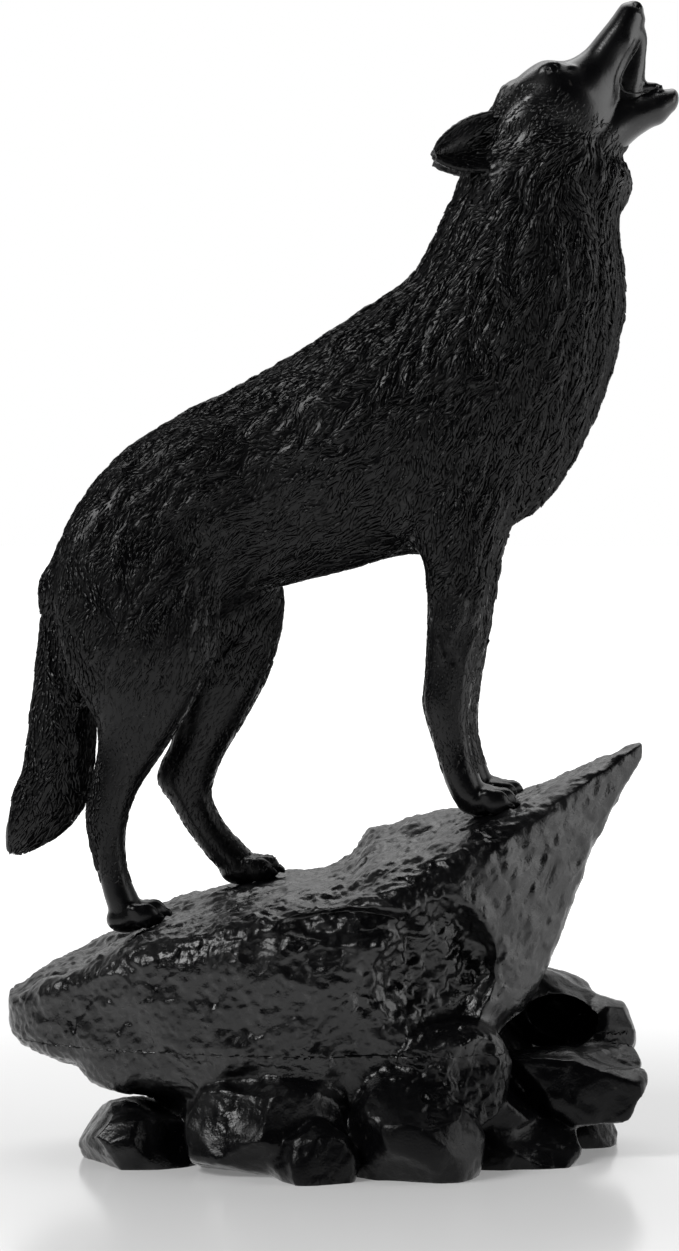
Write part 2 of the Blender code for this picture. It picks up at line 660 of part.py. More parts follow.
def wave(points, size, seed=0.0, stretch=(1, 1, 1)):
    """Smooth noise from -1 to 1 over the points, its waves about as long as size."""
    scaled = points / (size * np.array(stretch, float)) + seed
    return np.array([noise.noise(Vector(p)) for p in scaled])


def chips(points, size, seed=0.0):
    """Tilted flat chips: for each point, how high its chip stands there, from -1 to 1."""
    out = np.empty(len(points))
    for i, p in enumerate(points / size + seed):
        gaps, centres, *_ = noise.voronoi(Vector(p))
        total = weights = 0.0
        for gap, centre in zip(gaps[:3], centres):
            weight = math.exp(CHIP_EDGE * (gaps[0] - gap))
            tilt = noise.noise_vector(centre * 3.7)
            height = 1.3 * tilt.dot(Vector(p) - centre) + 0.7 * noise.noise(centre * 5.1)
            total += weight * height
            weights += weight
        out[i] = total / weights
    return out


def roughen_crag(mesh):
    """Broken rock: each chip is a tilted flat with steps at its edges, and waves cover all."""
    points = read(mesh)
    along_prow = points[:, 0] + 0.6 * (points[:, 2] - LEDGE_HEIGHT)
    worn = 0.65 * ramp(along_prow, PROW_START, PROW_START + PROW_LENGTH)
    rough = CHIP_RELIEF * chips(points, CHIP_SIZE)
    rough += WAVE_RELIEF * wave(points, WAVE_SIZE, 3.0, (1.6, 1, 0.8))
    write(mesh, points + read(mesh, "normal") * (rough * (1 - worn))[:, None])
    relax(mesh, 1, creases_only=False)


def coat_share(points):
    """How long the coat is at each point: 0 on face and lower legs, 1.5 on the mane."""
    x, z = points[:, 0], points[:, 2]
    body = np.where(x < RUMP_X, 1.0, ramp(z, ELBOW_Z - COAT_FADE, ELBOW_Z))
    mane = 1.0 + 0.5 * ramp(x, WITHERS_X, WITHERS_X + COAT_FADE)
    edge = CHEEK_Z - np.where(x > CHEEK_X, 0.22, 0.4) * (x - CHEEK_X)
    return body * mane * ramp(edge - z, 0.0, 0.2 * COAT_FADE)


def flow_at(points):
    """Which way the coat lies at each point, from the table of directions and a slow waver."""
    place = np.array([row[0] for row in COAT_FLOW], float) * MM
    way = np.array([row[1] for row in COAT_FLOW], float)
    gap = np.linalg.norm(points[:, None, [0, 2]] - place[None, :, :], axis=2)
    lie = (1 / (gap + 2 * MM) ** 3) @ way
    lie /= np.linalg.norm(lie, axis=1)[:, None]
    turn = 0.95 * wave(points, 5.5 * MM)
    c, s = np.cos(turn), np.sin(turn)
    out = np.zeros((len(points), 3))
    out[:, 0] = c * lie[:, 0] - s * lie[:, 1]
    out[:, 2] = s * lie[:, 0] + c * lie[:, 1]
    return out


def coat_spots(tree, low, high):
    """Where the body's locks are rooted: a jittered grid seen from its sides, ends and back."""
    looks = []
    for z in np.arange(low.z, high.z, LOCK_SPACING):
        for x in np.arange(low.x, high.x, LOCK_SPACING):
            looks.append(((x, 2 * low.y, z), (0, 1, 0)))
            looks.append(((x, 2 * high.y, z), (0, -1, 0)))
        for y in np.arange(low.y, high.y, LOCK_SPACING):
            looks.append(((2 * high.x, y, z), (-1, 0, 0)))
            looks.append(((2 * low.x, y, z), (1, 0, 0)))
    for x in np.arange(low.x, WITHERS_X, LOCK_SPACING):
        for y in np.arange(low.y, high.y, LOCK_SPACING):
            looks.append(((x, y, 2 * high.z), (0, 0, -1)))
    spots = []
    for start, way in looks:
        jitter = noise.noise_vector(Vector(start) / (2.7 * MM)) * 0.6 * LOCK_SPACING
        spot, normal, _, _ = tree.ray_cast(Vector(start) + jitter, Vector(way))
        if spot is not None and normal.dot(Vector(way)) < -0.4:
            spots.append(spot)
    return np.array(spots)


def strokes(tree, points, size):
    """A mesh of closed, tapered locks, rooted in the skin with their tips standing out."""
    way = flow_at(points)
    rows = []
    for stop, wide, high in LOCK_SHAPE:
        spots = points + way * (stop * LOCK_LENGTH * size)[:, None]
        found = [tree.find_nearest(Vector(p)) for p in spots]
        ground = np.array([hit[0] for hit in found])
        normal = np.array([hit[1] for hit in found])
        side = np.cross(normal, way)
        side /= np.linalg.norm(side, axis=1)[:, None] + 1e-9
        lift = LOCK_LIFT if stop == LOCK_SHAPE[-1][0] else LOCK_HEIGHT * high
        top = ground + normal * (lift * size)[:, None]
        if wide == 0.0:
            rows.append(top[:, None, :])
        else:
            foot = ground - normal * LOCK_HEIGHT
            reach = side * (wide * LOCK_BREADTH / 2 * size)[:, None]
            rows.append(np.stack([foot - reach, top, foot + reach], axis=1))
    stroke = np.concatenate(rows, axis=1)
    faces = [(0, 2, 1), (0, 3, 2), (0, 1, 3)]
    for ring in (1, 4):
        for k in range(3):
            a, b = ring + k, ring + (k + 1) % 3
            faces += [(a, b, b + 3), (a, b + 3, a + 3)]
    faces += [(7, 8, 10), (8, 9, 10), (9, 7, 10)]
    faces = np.array(faces)
    corners = stroke[:, faces] - stroke.mean(axis=1)[:, None, None, :]
    volume = np.linalg.det(corners).sum(axis=1)
    numbers = faces[None] + stroke.shape[1] * np.arange(len(stroke))[:, None, None]
    numbers[volume < 0] = numbers[volume < 0][:, :, ::-1]
    mesh = bpy.data.meshes.new("locks")
    mesh.from_pydata(stroke.reshape(-1, 3).tolist(), [], numbers.reshape(-1, 3).tolist())
    mesh.update()
    return mesh


def locks(body):
    """The coarse locks of the coat on mane, back, haunches and tail."""
    points = read(body)
    polygons = [list(p.vertices) for p in body.polygons]
    tree = BVHTree.FromPolygons(points.tolist(), polygons)
    spots = coat_spots(tree, Vector(points.min(axis=0)), Vector(points.max(axis=0)))
    share = coat_share(spots)
    spots, share = spots[share > 0.5], share[share > 0.5]
    size = (0.45 + 0.45 * share) * (1 + 0.5 * wave(spots, 3.1 * MM, 41.0))
    return strokes(tree, spots, size)


def thin_out(obj, triangles):
    """Fewer, larger triangles where the form is flat."""
    faces = sum(len(p.vertices) - 2 for p in obj.data.polygons)
    thinner = obj.modifiers.new("thin_out", "DECIMATE")
    thinner.ratio = triangles / faces


def to_size(mesh):
    """Brings a mesh from the size at which it is drawn to the figurine's own."""
    figure = (FIGURE_LENGTH, FIGURE_DEPTH, FIGURE_HEIGHT)
    ratio = [now / (drawn * MM) for now, drawn in zip(figure, DRAWN_SIZE)]
    mesh.transform(Matrix.Diagonal((*ratio, 1.0)))


def build_wolf():
    body = fuse("body_cutter", body_forms(), BODY_VOXEL)
    relax(body.data, BODY_BLENDING, creases_only=True)
    relax(body.data, 2, creases_only=False)
    wolf = fuse("wolf_cutter", [body.data, locks(body.data), *fine_forms()], WOLF_VOXEL)
    bpy.data.objects.remove(body)
    relax(wolf.data, FINE_BLENDING, creases_only=True)
    relax(wolf.data, 2, creases_only=False)
    to_size(wolf.data)
    thin_out(wolf, WOLF_TRIANGLES)
    wolf.hide_render = True
    wolf.display_type = "WIRE"
    return wolf


def build_crag():
    forms = [slab()] + [boulder(*row, seed) for seed, row in enumerate(BOULDERS, start=1)]
    crag = fuse("howling_wolf_on_crag", forms, CRAG_VOXEL)
    relax(crag.data, CRAG_BLENDING, creases_only=True)
    press_hollows(crag.data)
    roughen_crag(crag.data)
    to_size(crag.data)
    thin_out(crag, CRAG_TRIANGLES)
    return crag


def join(target, tool, operation, name):
    boolean = target.modifiers.new(name, "BOOLEAN")
    boolean.operation = operation
    boolean.object = tool
    boolean.solver = "EXACT"


def foot_cutter():
    """A block whose top is the plane of the flat foot."""
    bm = bmesh.new()
    bmesh.ops.create_cube(bm, size=1.0)
    size = Vector((0.4, 0.3, 0.06))
    middle = Vector((0, 0, FOOT_Z - size.z / 2))
    place = Matrix.Translation(middle) @ Matrix.Diagonal((*size, 1.0))
    bmesh.ops.transform(bm, matrix=place, verts=bm.verts)
    mesh = bpy.data.meshes.new("foot_cutter")
    bm.to_mesh(mesh)
    bm.free()
    cutter = add_object("foot_cutter", mesh)
    cutter.hide_render = True
    cutter.display_type = "WIRE"
    return cutter


def coat():
    """Glossy black paint over the cast resin."""
    material = bpy.data.materials.new("black_resin")
    material.use_nodes = True
    shader = material.node_tree.nodes["Principled BSDF"]
    shader.inputs["Base Color"].default_value = COAT_COLOUR
    shader.inputs["Roughness"].default_value = COAT_ROUGHNESS
    shader.inputs["Metallic"].default_value = 0.0
    return material


def main():
    clear_scene()
    figurine = build_crag()
    join(figurine, build_wolf(), "UNION", "wolf_and_crag")
    join(figurine, foot_cutter(), "DIFFERENCE", "flat_foot")
    figurine.data.materials.append(coat())


main()
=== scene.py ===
import json
import math

import bmesh
import bpy
import numpy as np
from mathutils import Matrix, Vector, noise
from mathutils.bvhtree import BVHTree

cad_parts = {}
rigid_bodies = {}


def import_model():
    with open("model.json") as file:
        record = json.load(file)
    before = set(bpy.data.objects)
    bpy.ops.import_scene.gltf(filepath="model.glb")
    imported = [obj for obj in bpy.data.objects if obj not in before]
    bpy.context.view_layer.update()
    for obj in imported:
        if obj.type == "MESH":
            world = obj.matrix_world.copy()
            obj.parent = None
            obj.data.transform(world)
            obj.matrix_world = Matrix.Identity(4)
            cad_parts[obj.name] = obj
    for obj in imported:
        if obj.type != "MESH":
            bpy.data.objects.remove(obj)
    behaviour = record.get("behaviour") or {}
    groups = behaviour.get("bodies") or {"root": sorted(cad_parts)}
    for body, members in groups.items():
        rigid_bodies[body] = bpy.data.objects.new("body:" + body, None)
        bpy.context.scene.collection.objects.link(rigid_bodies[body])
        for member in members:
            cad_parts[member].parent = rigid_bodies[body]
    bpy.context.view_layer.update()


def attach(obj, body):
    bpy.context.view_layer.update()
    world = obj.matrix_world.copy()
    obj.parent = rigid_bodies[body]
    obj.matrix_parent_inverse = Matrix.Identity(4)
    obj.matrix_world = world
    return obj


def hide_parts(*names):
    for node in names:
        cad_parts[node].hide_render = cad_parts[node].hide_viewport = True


# Looks of the howling wolf figurine: the casting's skin at full fineness, its fur in carved
# strokes, the broken rock under it, and glossy black paint over all.

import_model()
NODE = "howling_wolf_on_crag"
MM = 0.001

# Fineness of the skins, and the most triangles in each
BODY_VOXEL = 1.0 * MM
WOLF_VOXEL = 0.33 * MM
EYE_VOXEL = 0.14 * MM
ROCK_VOXEL = 0.44 * MM
WOLF_TRIANGLES = 180000
ROCK_TRIANGLES = 150000
ROCK_SPLIT = 25.0 * MM

# Camera: where it stands, what it looks at, and its lens in millimetres on a 36 mm sensor
CAMERA_PLACE = (0.0, -1.0, 0.176)
CAMERA_AIM = (0.0, 0.0, 0.1148)
CAMERA_LENS = 131.7

# Light: the lamps' watts, the room's plain light, and how bright the gloss mirrors the room
# before and behind the figurine, with the span of Y over which that changes
SOFTBOX_LEFT = 9.0
SOFTBOX_RIGHT = 4.0
SOFTBOX_TOP = 5.0
ROOM_LIGHT = 0.2
MIRROR_FRONT = 0.004
MIRROR_BACK = 1.0
MIRROR_FADE = (0.15, 0.75)

# The white table: how far it lights itself for the camera, near the figurine and far off, the
# distances between which that changes, and the same in the gloss; its colour and roughness.
# The weaker glow near the figurine is painted shade, a grey pool round the base
FLOOR_GLOW = (0.16, 0.75)
FLOOR_FADE = (0.09, 0.45)
FLOOR_MIRRORED = 0.5
FLOOR_WHITE = (0.82, 0.82, 0.82, 1)
FLOOR_ROUGHNESS = 0.16

# The crag; the edges are how sharply one chip gives way to the next, for coarse and fine ones
PAW_SINK = 1.2 * MM
CHIP_SIZE = 13.0 * MM
CHIP_RELIEF = 1.9 * MM
CHIP_EDGE = 12.0
FINE_EDGE = 30.0
WAVE_SIZE = 8.0 * MM
WAVE_RELIEF = 0.6 * MM
LEDGE_DEPTH_NEAR = 38.0 * MM
LEDGE_DEPTH_FAR = 33.0 * MM

# The prow, the part of the slab ahead of the forelegs: where it begins, and how much of the
# coarse relief is worn off it
PROW_START = 26.0 * MM
PROW_LENGTH = 14.0 * MM
PROW_WEAR = 0.65
LEDGE_HEIGHT = 50.0 * MM

# The wolf: widths across the body, from one side to the other
HIP_WIDTH = 28.0 * MM
LOIN_WIDTH = 26.0 * MM
CHEST_WIDTH = 33.0 * MM
NECK_WIDTH = 33.0 * MM
SKULL_WIDTH = 24.0 * MM
MUZZLE_WIDTH = 12.5 * MM
JAW_WIDTH = 10.5 * MM
MOUTH_WIDTH = 7.6 * MM
TAIL_WIDTH = 14.0 * MM
THIGH_WIDTH = 15.0 * MM
SHANK_WIDTH = 8.2 * MM
FORELEG_WIDTH = 9.4 * MM

# How far apart the legs stand, and how far the far foreleg stands ahead of the near one
HIND_TRACK = 20.0 * MM
FORE_TRACK = 18.0 * MM
FORE_STRIDE = 2.4 * MM

# Paws
PAW_LENGTH = 13.0 * MM
PAW_WIDTH = 11.0 * MM
PAW_HEIGHT = 6.6 * MM
CLAW_LENGTH = 2.2 * MM

# Ears, eyes and nose
EAR_LENGTH = 14.5 * MM
EAR_WIDTH = 11.5 * MM
EAR_WALL = 1.5 * MM
EAR_CUP = 4.6 * MM
EAR_SPACING = 21.0 * MM
EAR_SPLAY = 3.6 * MM
EYE_RADIUS = 1.7 * MM
LIP_RADIUS = 0.3 * MM

# Locks of the coat: how far apart they lie, their length, breadth and height, how far the tip
# of each stands out, and the seed of their scatter, which is the solid's own
LOCK_SPACING = 5.2 * MM
LOCK_LENGTH = 9.5 * MM
LOCK_BREADTH = 3.8 * MM
LOCK_HEIGHT = 0.75 * MM
LOCK_LIFT = 0.75 * MM
LOCK_SEED = 15

# Where the coat changes: behind the rump, at the elbow, at the withers and under the face, and
# the length over which it does
RUMP_X = -54.0 * MM
ELBOW_Z = 118.0 * MM
WITHERS_X = 10.0 * MM
CHEEK_X = 40.0 * MM
CHEEK_Z = 224.0 * MM
COAT_FADE = 20.0 * MM

# Outline stations in millimetres: the front or upper point (x, z), the back or lower point
# (x, z), and the half width as a share of the width named for that form.
TRUNK = (
    ((-63.2, 128.0), (-58.5, 113.0), HIP_WIDTH, 0.40),
    ((-57.0, 140.5), (-50.0, 108.0), HIP_WIDTH, 0.78),
    ((-48.0, 151.4), (-37.0, 112.0), HIP_WIDTH, 0.98),
    ((-36.9, 159.4), (-23.0, 120.0), LOIN_WIDTH, 1.04),
    ((-24.0, 166.0), (-11.0, 124.0), LOIN_WIDTH, 0.98),
    ((-11.0, 173.0), (1.0, 127.0), CHEST_WIDTH, 0.88),
    ((1.0, 180.5), (13.0, 130.5), CHEST_WIDTH, 0.97),
    ((10.0, 186.5), (25.0, 131.5), CHEST_WIDTH, 1.00),
    ((16.5, 191.5), (38.5, 137.5), CHEST_WIDTH, 1.02),
    ((20.0, 197.0), (48.0, 146.5), CHEST_WIDTH, 1.02),
    ((23.0, 203.5), (56.5, 164.0), NECK_WIDTH, 1.02),
    ((25.5, 208.5), (61.5, 183.5), NECK_WIDTH, 1.00),
    ((27.0, 213.5), (60.3, 198.0), NECK_WIDTH, 0.93),
    ((28.5, 217.2), (59.8, 204.6), NECK_WIDTH, 0.88),
    ((30.5, 220.5), (63.2, 211.0), NECK_WIDTH, 0.83),
    ((34.0, 229.0), (60.4, 217.5), SKULL_WIDTH, 1.00),
)
SKULL = (
    ((32.0, 226.0), (57.0, 213.0), SKULL_WIDTH, 0.98),
    ((37.5, 233.0), (59.5, 219.0), SKULL_WIDTH, 1.00),
    ((43.5, 237.5), (60.5, 224.0), SKULL_WIDTH, 0.88),
    ((49.0, 237.7), (61.0, 229.0), MUZZLE_WIDTH, 1.30),
    ((53.0, 239.8), (61.5, 233.0), MUZZLE_WIDTH, 1.06),
    ((56.0, 243.2), (63.0, 237.5), MUZZLE_WIDTH, 0.95),
    ((58.6, 246.4), (65.2, 242.0), MUZZLE_WIDTH, 0.86),
    ((60.6, 249.2), (66.2, 245.5), MUZZLE_WIDTH, 0.70),
)
JAW = (
    ((55.0, 226.0), (58.0, 214.0), JAW_WIDTH, 1.70),
    ((60.5, 229.8), (63.5, 220.0), JAW_WIDTH, 1.20),
    ((65.5, 230.2), (67.5, 223.0), JAW_WIDTH, 0.98),
    ((69.0, 231.4), (70.2, 224.2), JAW_WIDTH, 0.88),
    ((71.6, 231.6), (72.2, 226.4), JAW_WIDTH, 0.70),
)
MOUTH = (
    ((65.6, 246.2), (61.0, 245.4), MOUTH_WIDTH, 0.84),
    ((67.2, 242.4), (61.0, 241.4), MOUTH_WIDTH, 0.92),
    ((67.2, 238.4), (60.0, 237.0), MOUTH_WIDTH, 0.98),
    ((66.6, 234.4), (59.0, 233.0), MOUTH_WIDTH, 1.04),
    ((65.9, 230.0), (58.0, 229.0), MOUTH_WIDTH, 1.06),
)
NEAR_HIND_LEG = (
    ((-38.0, 148.0), (-52.0, 146.0), THIGH_WIDTH, 0.50),
    ((-30.0, 134.0), (-59.0, 135.0), THIGH_WIDTH, 0.86),
    ((-26.5, 121.0), (-61.0, 122.0), THIGH_WIDTH, 1.04),
    ((-26.5, 111.5), (-59.5, 109.5), THIGH_WIDTH, 1.02),
    ((-29.5, 103.0), (-56.0, 101.0), THIGH_WIDTH, 0.90),
    ((-34.0, 94.5), (-52.5, 94.0), THIGH_WIDTH, 0.74),
    ((-39.5, 86.0), (-52.5, 87.0), SHANK_WIDTH, 1.12),
    ((-43.5, 80.0), (-54.0, 80.5), SHANK_WIDTH, 1.00),
    ((-46.0, 73.0), (-55.0, 74.0), SHANK_WIDTH, 0.95),
    ((-46.5, 67.0), (-54.0, 67.0), SHANK_WIDTH, 0.88),
    ((-45.6, 61.0), (-52.5, 61.0), SHANK_WIDTH, 0.88),
    ((-43.5, 56.0), (-51.0, 55.5), SHANK_WIDTH, 1.02),
    ((-42.0, 52.5), (-49.5, 51.0), SHANK_WIDTH, 1.10),
)
FAR_HIND_LEG = (
    ((-26.0, 148.0), (-42.0, 147.0), THIGH_WIDTH, 0.50),
    ((-17.0, 134.0), (-43.5, 135.0), THIGH_WIDTH, 0.86),
    ((-12.5, 122.5), (-42.0, 122.0), THIGH_WIDTH, 1.00),
    ((-13.0, 113.0), (-40.0, 110.5), THIGH_WIDTH, 0.94),
    ((-16.0, 102.5), (-38.0, 99.5), THIGH_WIDTH, 0.84),
    ((-21.0, 93.0), (-37.0, 89.5), THIGH_WIDTH, 0.68),
    ((-25.5, 85.5), (-39.5, 84.0), SHANK_WIDTH, 1.08),
    ((-28.0, 79.0), (-40.5, 79.5), SHANK_WIDTH, 1.00),
    ((-28.0, 75.5), (-37.5, 75.0), SHANK_WIDTH, 0.92),
    ((-25.5, 70.5), (-34.0, 69.0), SHANK_WIDTH, 0.88),
    ((-21.5, 66.0), (-29.5, 63.0), SHANK_WIDTH, 0.98),
    ((-18.5, 62.8), (-26.0, 59.5), SHANK_WIDTH, 1.08),
)
FORELEG = (
    ((36.0, 164.0), (14.0, 160.0), FORELEG_WIDTH, 0.90),
    ((38.0, 150.0), (11.5, 146.0), FORELEG_WIDTH, 1.24),
    ((35.4, 138.5), (15.5, 136.5), FORELEG_WIDTH, 1.32),
    ((32.8, 129.0), (18.6, 128.5), FORELEG_WIDTH, 1.16),
    ((31.6, 122.5), (19.0, 122.5), FORELEG_WIDTH, 1.04),
    ((30.5, 114.0), (19.0, 114.0), FORELEG_WIDTH, 0.98),
    ((29.5, 105.5), (18.5, 105.5), FORELEG_WIDTH, 0.94),
    ((28.5, 98.0), (18.0, 98.0), FORELEG_WIDTH, 0.96),
    ((28.3, 92.5), (19.6, 92.0), FORELEG_WIDTH, 0.86),
    ((29.0, 87.5), (21.0, 87.5), FORELEG_WIDTH, 0.82),
    ((30.5, 82.8), (22.6, 82.0), FORELEG_WIDTH, 0.92),
    ((32.0, 79.0), (24.5, 77.5), FORELEG_WIDTH, 1.02),
)
TAIL = (
    ((-55.5, 138.0), (-45.0, 130.0), TAIL_WIDTH, 0.50),
    ((-62.6, 127.6), (-50.5, 121.0), TAIL_WIDTH, 0.60),
    ((-65.0, 115.5), (-53.0, 110.5), TAIL_WIDTH, 0.80),
    ((-66.5, 103.5), (-53.5, 100.5), TAIL_WIDTH, 0.94),
    ((-67.6, 94.0), (-53.5, 90.5), TAIL_WIDTH, 1.00),
    ((-69.0, 84.5), (-54.5, 82.0), TAIL_WIDTH, 0.96),
    ((-71.5, 76.5), (-57.0, 74.0), TAIL_WIDTH, 0.84),
    ((-73.4, 70.0), (-62.0, 68.6), TAIL_WIDTH, 0.64),
    ((-73.4, 66.4), (-68.0, 65.4), TAIL_WIDTH, 0.36),
)

# Paws: where the heel rests on the crag (x, z) and how steeply the sole climbs, in degrees
NEAR_HIND_PAW = ((-50.5, 49.0), 14.0)
FAR_HIND_PAW = ((-26.5, 57.6), 8.0)
NEAR_FORE_PAW = ((25.0, 75.4), 2.0)

# The slab that the wolf stands on: x, the height of its far and near upper edges, the height
# of its underside, and its reach to the near and far side as shares of the ledge depths
SLAB = (
    (-72.9, 33.2, 32.8, 30.2, 0.08, 0.10),
    (-71.0, 34.6, 34.0, 24.8, 0.22, 0.26),
    (-66.0, 37.6, 37.0, 21.8, 0.38, 0.42),
    (-59.0, 41.8, 41.2, 19.6, 0.54, 0.56),
    (-50.0, 46.3, 45.8, 16.4, 0.70, 0.72),
    (-38.0, 52.0, 50.5, 13.0, 0.84, 0.88),
    (-24.0, 57.5, 54.5, 11.0, 0.94, 0.97),
    (-10.0, 59.0, 56.5, 9.0, 1.00, 1.03),
    (1.0, 61.5, 59.0, 8.0, 1.00, 1.03),
    (7.0, 69.0, 61.5, 8.0, 0.98, 1.01),
    (14.0, 71.6, 64.5, 10.0, 0.94, 0.97),
    (26.0, 73.5, 71.0, 16.0, 0.82, 0.85),
    (35.0, 75.8, 74.5, 27.0, 0.68, 0.70),
    (43.8, 79.2, 78.2, 38.0, 0.50, 0.52),
    (51.4, 82.6, 82.0, 56.5, 0.34, 0.36),
    (58.8, 85.9, 85.5, 74.0, 0.18, 0.19),
    (66.2, 89.4, 89.2, 86.0, 0.05, 0.06),
)

# Boulders: centre and half size (x, y, z), and how square they are (0 round, 1 a block)
BOULDERS = (
    ((5.0, 0.0, 14.0), (46.0, 32.0, 19.0), 0.5),
    ((-43.0, -18.5, 4.2), (13.5, 13.5, 9.0), 0.3),
    ((-15.0, -31.0, 8.5), (18.0, 14.0, 11.5), 0.5),
    ((-5.5, -41.0, 2.8), (9.6, 9.6, 10.0), 0.1),
    ((16.0, -35.0, 7.0), (14.5, 14.5, 16.5), 0.1),
    ((24.0, -26.0, 20.0), (13.0, 12.0, 12.5), 0.3),
    ((37.0, -17.0, 2.0), (17.0, 14.0, 8.5), 0.6),
    ((50.5, -9.0, 15.2), (16.6, 12.0, 8.4), 0.9),
    ((54.0, 7.0, 2.0), (8.0, 12.0, 8.0), 0.3),
    ((46.5, 12.0, 29.0), (11.0, 10.0, 9.5), 0.4),
    ((57.0, 8.0, 22.0), (8.0, 11.0, 10.5), 0.4),
    ((-30.0, 18.0, 5.0), (14.0, 14.0, 9.0), 0.3),
    ((-17.0, 27.0, 9.0), (17.0, 12.0, 12.0), 0.5),
    ((10.0, 29.0, 8.0), (15.0, 12.0, 13.5), 0.2),
    ((34.0, 22.0, 8.0), (16.0, 14.0, 12.0), 0.4),
)

# Hollows worn into the crag's near side: centre, half size, depth
HOLLOWS = (
    ((22.0, -34.0, 43.0), (14.5, 16.0, 15.5), 6.5),
    ((3.0, -38.0, 53.5), (18.0, 12.0, 3.6), 3.4),
    ((48.5, -12.0, 28.0), (8.8, 26.0, 5.8), 18.0),
)

# The head: its ways forward and up, the middle of an eye, and the root of an ear (x, z)
HEAD_FORWARD = (0.8, 0.0, 0.6)
HEAD_UP = (-0.6, 0.0, 0.8)
EYE_PLACE = (45.2, 8.2, 234.4)
EAR_ROOT = (34.5, 220.6)

# Along each lip (x, z), with the half width there as a share of the jaw's
LIP = (
    (66.3, 245.6, 0.52),
    (64.6, 240.6, 0.67),
    (62.3, 237.0, 0.77),
    (60.7, 233.6, 0.84),
    (61.3, 231.2, 0.84),
    (63.6, 230.4, 0.81),
    (67.0, 231.0, 0.71),
    (70.4, 231.9, 0.60),
)

# Lids: from and to which turn round the eye, reach, height and thickness
LIDS = (
    (0.0, 1.0, 1.0, 0.65, 0.30),
    (1.0, 2.0, 1.0, 0.6, 0.26),
    (-0.02, 1.12, 1.5, 0.2, 0.30),
)

# Muscles at the shoulder and the cheek: place, half size and tilt
SHOULDER = ((22.0, 160.0), (12.0, 7.0, 22.0), -22.0)
CHEEK = ((45.0, 216.0), (9.5, 4.0, 7.0), 25.0)

# The outermost sides: the axis, which way, and how far out; and how far inside them the skin
# begins to ease back
DRAWN_SIDES = ((0, -1, 73.0), (1, -1, 49.3), (1, 1, 41.2), (0, 1, 73.6))
SIDE_EASING = 1.5

# Which way the coat lies: a place in the side view (x, z), and the direction there
COAT_FLOW = (
    ((58, 243), (-0.8, -0.6)),
    ((50, 234), (-0.75, -0.66)),
    ((40, 229), (-0.9, -0.44)),
    ((45, 220), (-0.75, -0.66)),
    ((54, 217), (-0.35, -0.94)),
    ((33, 219), (-0.9, -0.44)),
    ((28, 206), (-0.55, -0.83)),
    ((40, 205), (-0.25, -0.97)),
    ((50, 208), (0.35, -0.94)),
    ((58, 203), (0.12, -0.99)),
    ((22, 192), (-0.62, -0.78)),
    ((36, 186), (-0.3, -0.95)),
    ((54, 180), (0.05, -1.0)),
    ((9, 180), (-0.75, -0.66)),
    ((24, 168), (-0.5, -0.87)),
    ((44, 158), (-0.1, -0.99)),
    ((38, 143), (-0.3, -0.95)),
    ((-6, 167), (-0.85, -0.52)),
    ((5, 148), (-0.72, -0.7)),
    ((24, 142), (-0.2, -0.98)),
    ((-25, 157), (-0.88, -0.48)),
    ((-18, 137), (-0.85, -0.53)),
    ((2, 131), (-0.9, -0.43)),
    ((-45, 146), (-0.75, -0.66)),
    ((-36, 128), (-0.5, -0.87)),
    ((-58, 128), (-0.25, -0.97)),
    ((-28, 116), (-0.15, -0.99)),
    ((-46, 108), (-0.3, -0.95)),
    ((-60, 105), (-0.12, -0.99)),
    ((-64, 88), (-0.22, -0.97)),
    ((-70, 73), (-0.45, -0.89)),
    ((-48, 80), (0.05, -1.0)),
    ((-30, 90), (-0.45, -0.89)),
    ((24, 115), (-0.05, -1.0)),
    ((25, 85), (0.2, -0.98)),
)

# A lock from root to tip: where along its length, how broad and how high it is there
LOCK_SHAPE = (
    (-0.42, 0.0, -0.35),
    (-0.2, 0.72, 0.72),
    (0.12, 1.0, 1.0),
    (0.42, 0.58, 0.85),
    (0.58, 0.0, 0.0),
)

# Kinds of fur stroke, in millimetres: how far apart they stand, their length, breadth and
# height, how far their tips stand out, and how deep their edges lie in the skin
LONG_FUR = (1.35, 3.6, 1.05, 0.44, 0.42, 0.14)
BODY_FUR = (1.2, 2.9, 0.90, 0.34, 0.28, 0.14)
RUFF_FUR = (1.2, 2.2, 1.00, 0.34, 0.20, 0.14)
SHORT_FUR = (1.15, 2.1, 0.70, 0.17, 0.12, 0.12)
DOWN = (1.10, 1.7, 0.50, 0.12, 0.06, 0.10)
FUR_KINDS = (
    ("fur_of_mane_and_chest", LONG_FUR),
    ("fur_of_back_and_haunches", BODY_FUR),
    ("fur_of_tail", LONG_FUR),
    ("fur_of_legs", SHORT_FUR),
    ("fur_of_cheeks", RUFF_FUR),
    ("fur_of_face_and_ears", DOWN),
)

# The paint's black and the dust in it, and how it shines on wolf and rock: its mirror strength,
# and its roughness where it is glossiest and where it is dullest. The wolf below its face and
# the boulders mirror less, a painted shade that renders them darker; the face and the slab
# mirror more, a painted sheen
PAINT_BLACK = (0.002, 0.002, 0.0024, 1)
DUST_GREY = (0.02, 0.019, 0.018, 1)
WOLF_SHINE = (0.55, 0.20, 0.34)
FUR_SHADED_MIRROR = 0.25
ROCK_SHINE = (0.5, 0.20, 0.38)
BOULDER_SHADED_MIRROR = 0.16


def metres(*values):
    """Millimetres as a vector in metres."""
    return Vector(values) * MM


def ramp(value, start, end):
    """0 up to start, 1 from end on, and straight between them, for numbers and for arrays."""
    return np.clip((value - start) / (end - start), 0.0, 1.0)


def add_object(name, mesh):
    obj = bpy.data.objects.new(name, mesh)
    bpy.context.scene.collection.objects.link(obj)
    return obj


def mesh_of(bm, name):
    mesh = bpy.data.meshes.new(name)
    bm.to_mesh(mesh)
    bm.free()
    return mesh


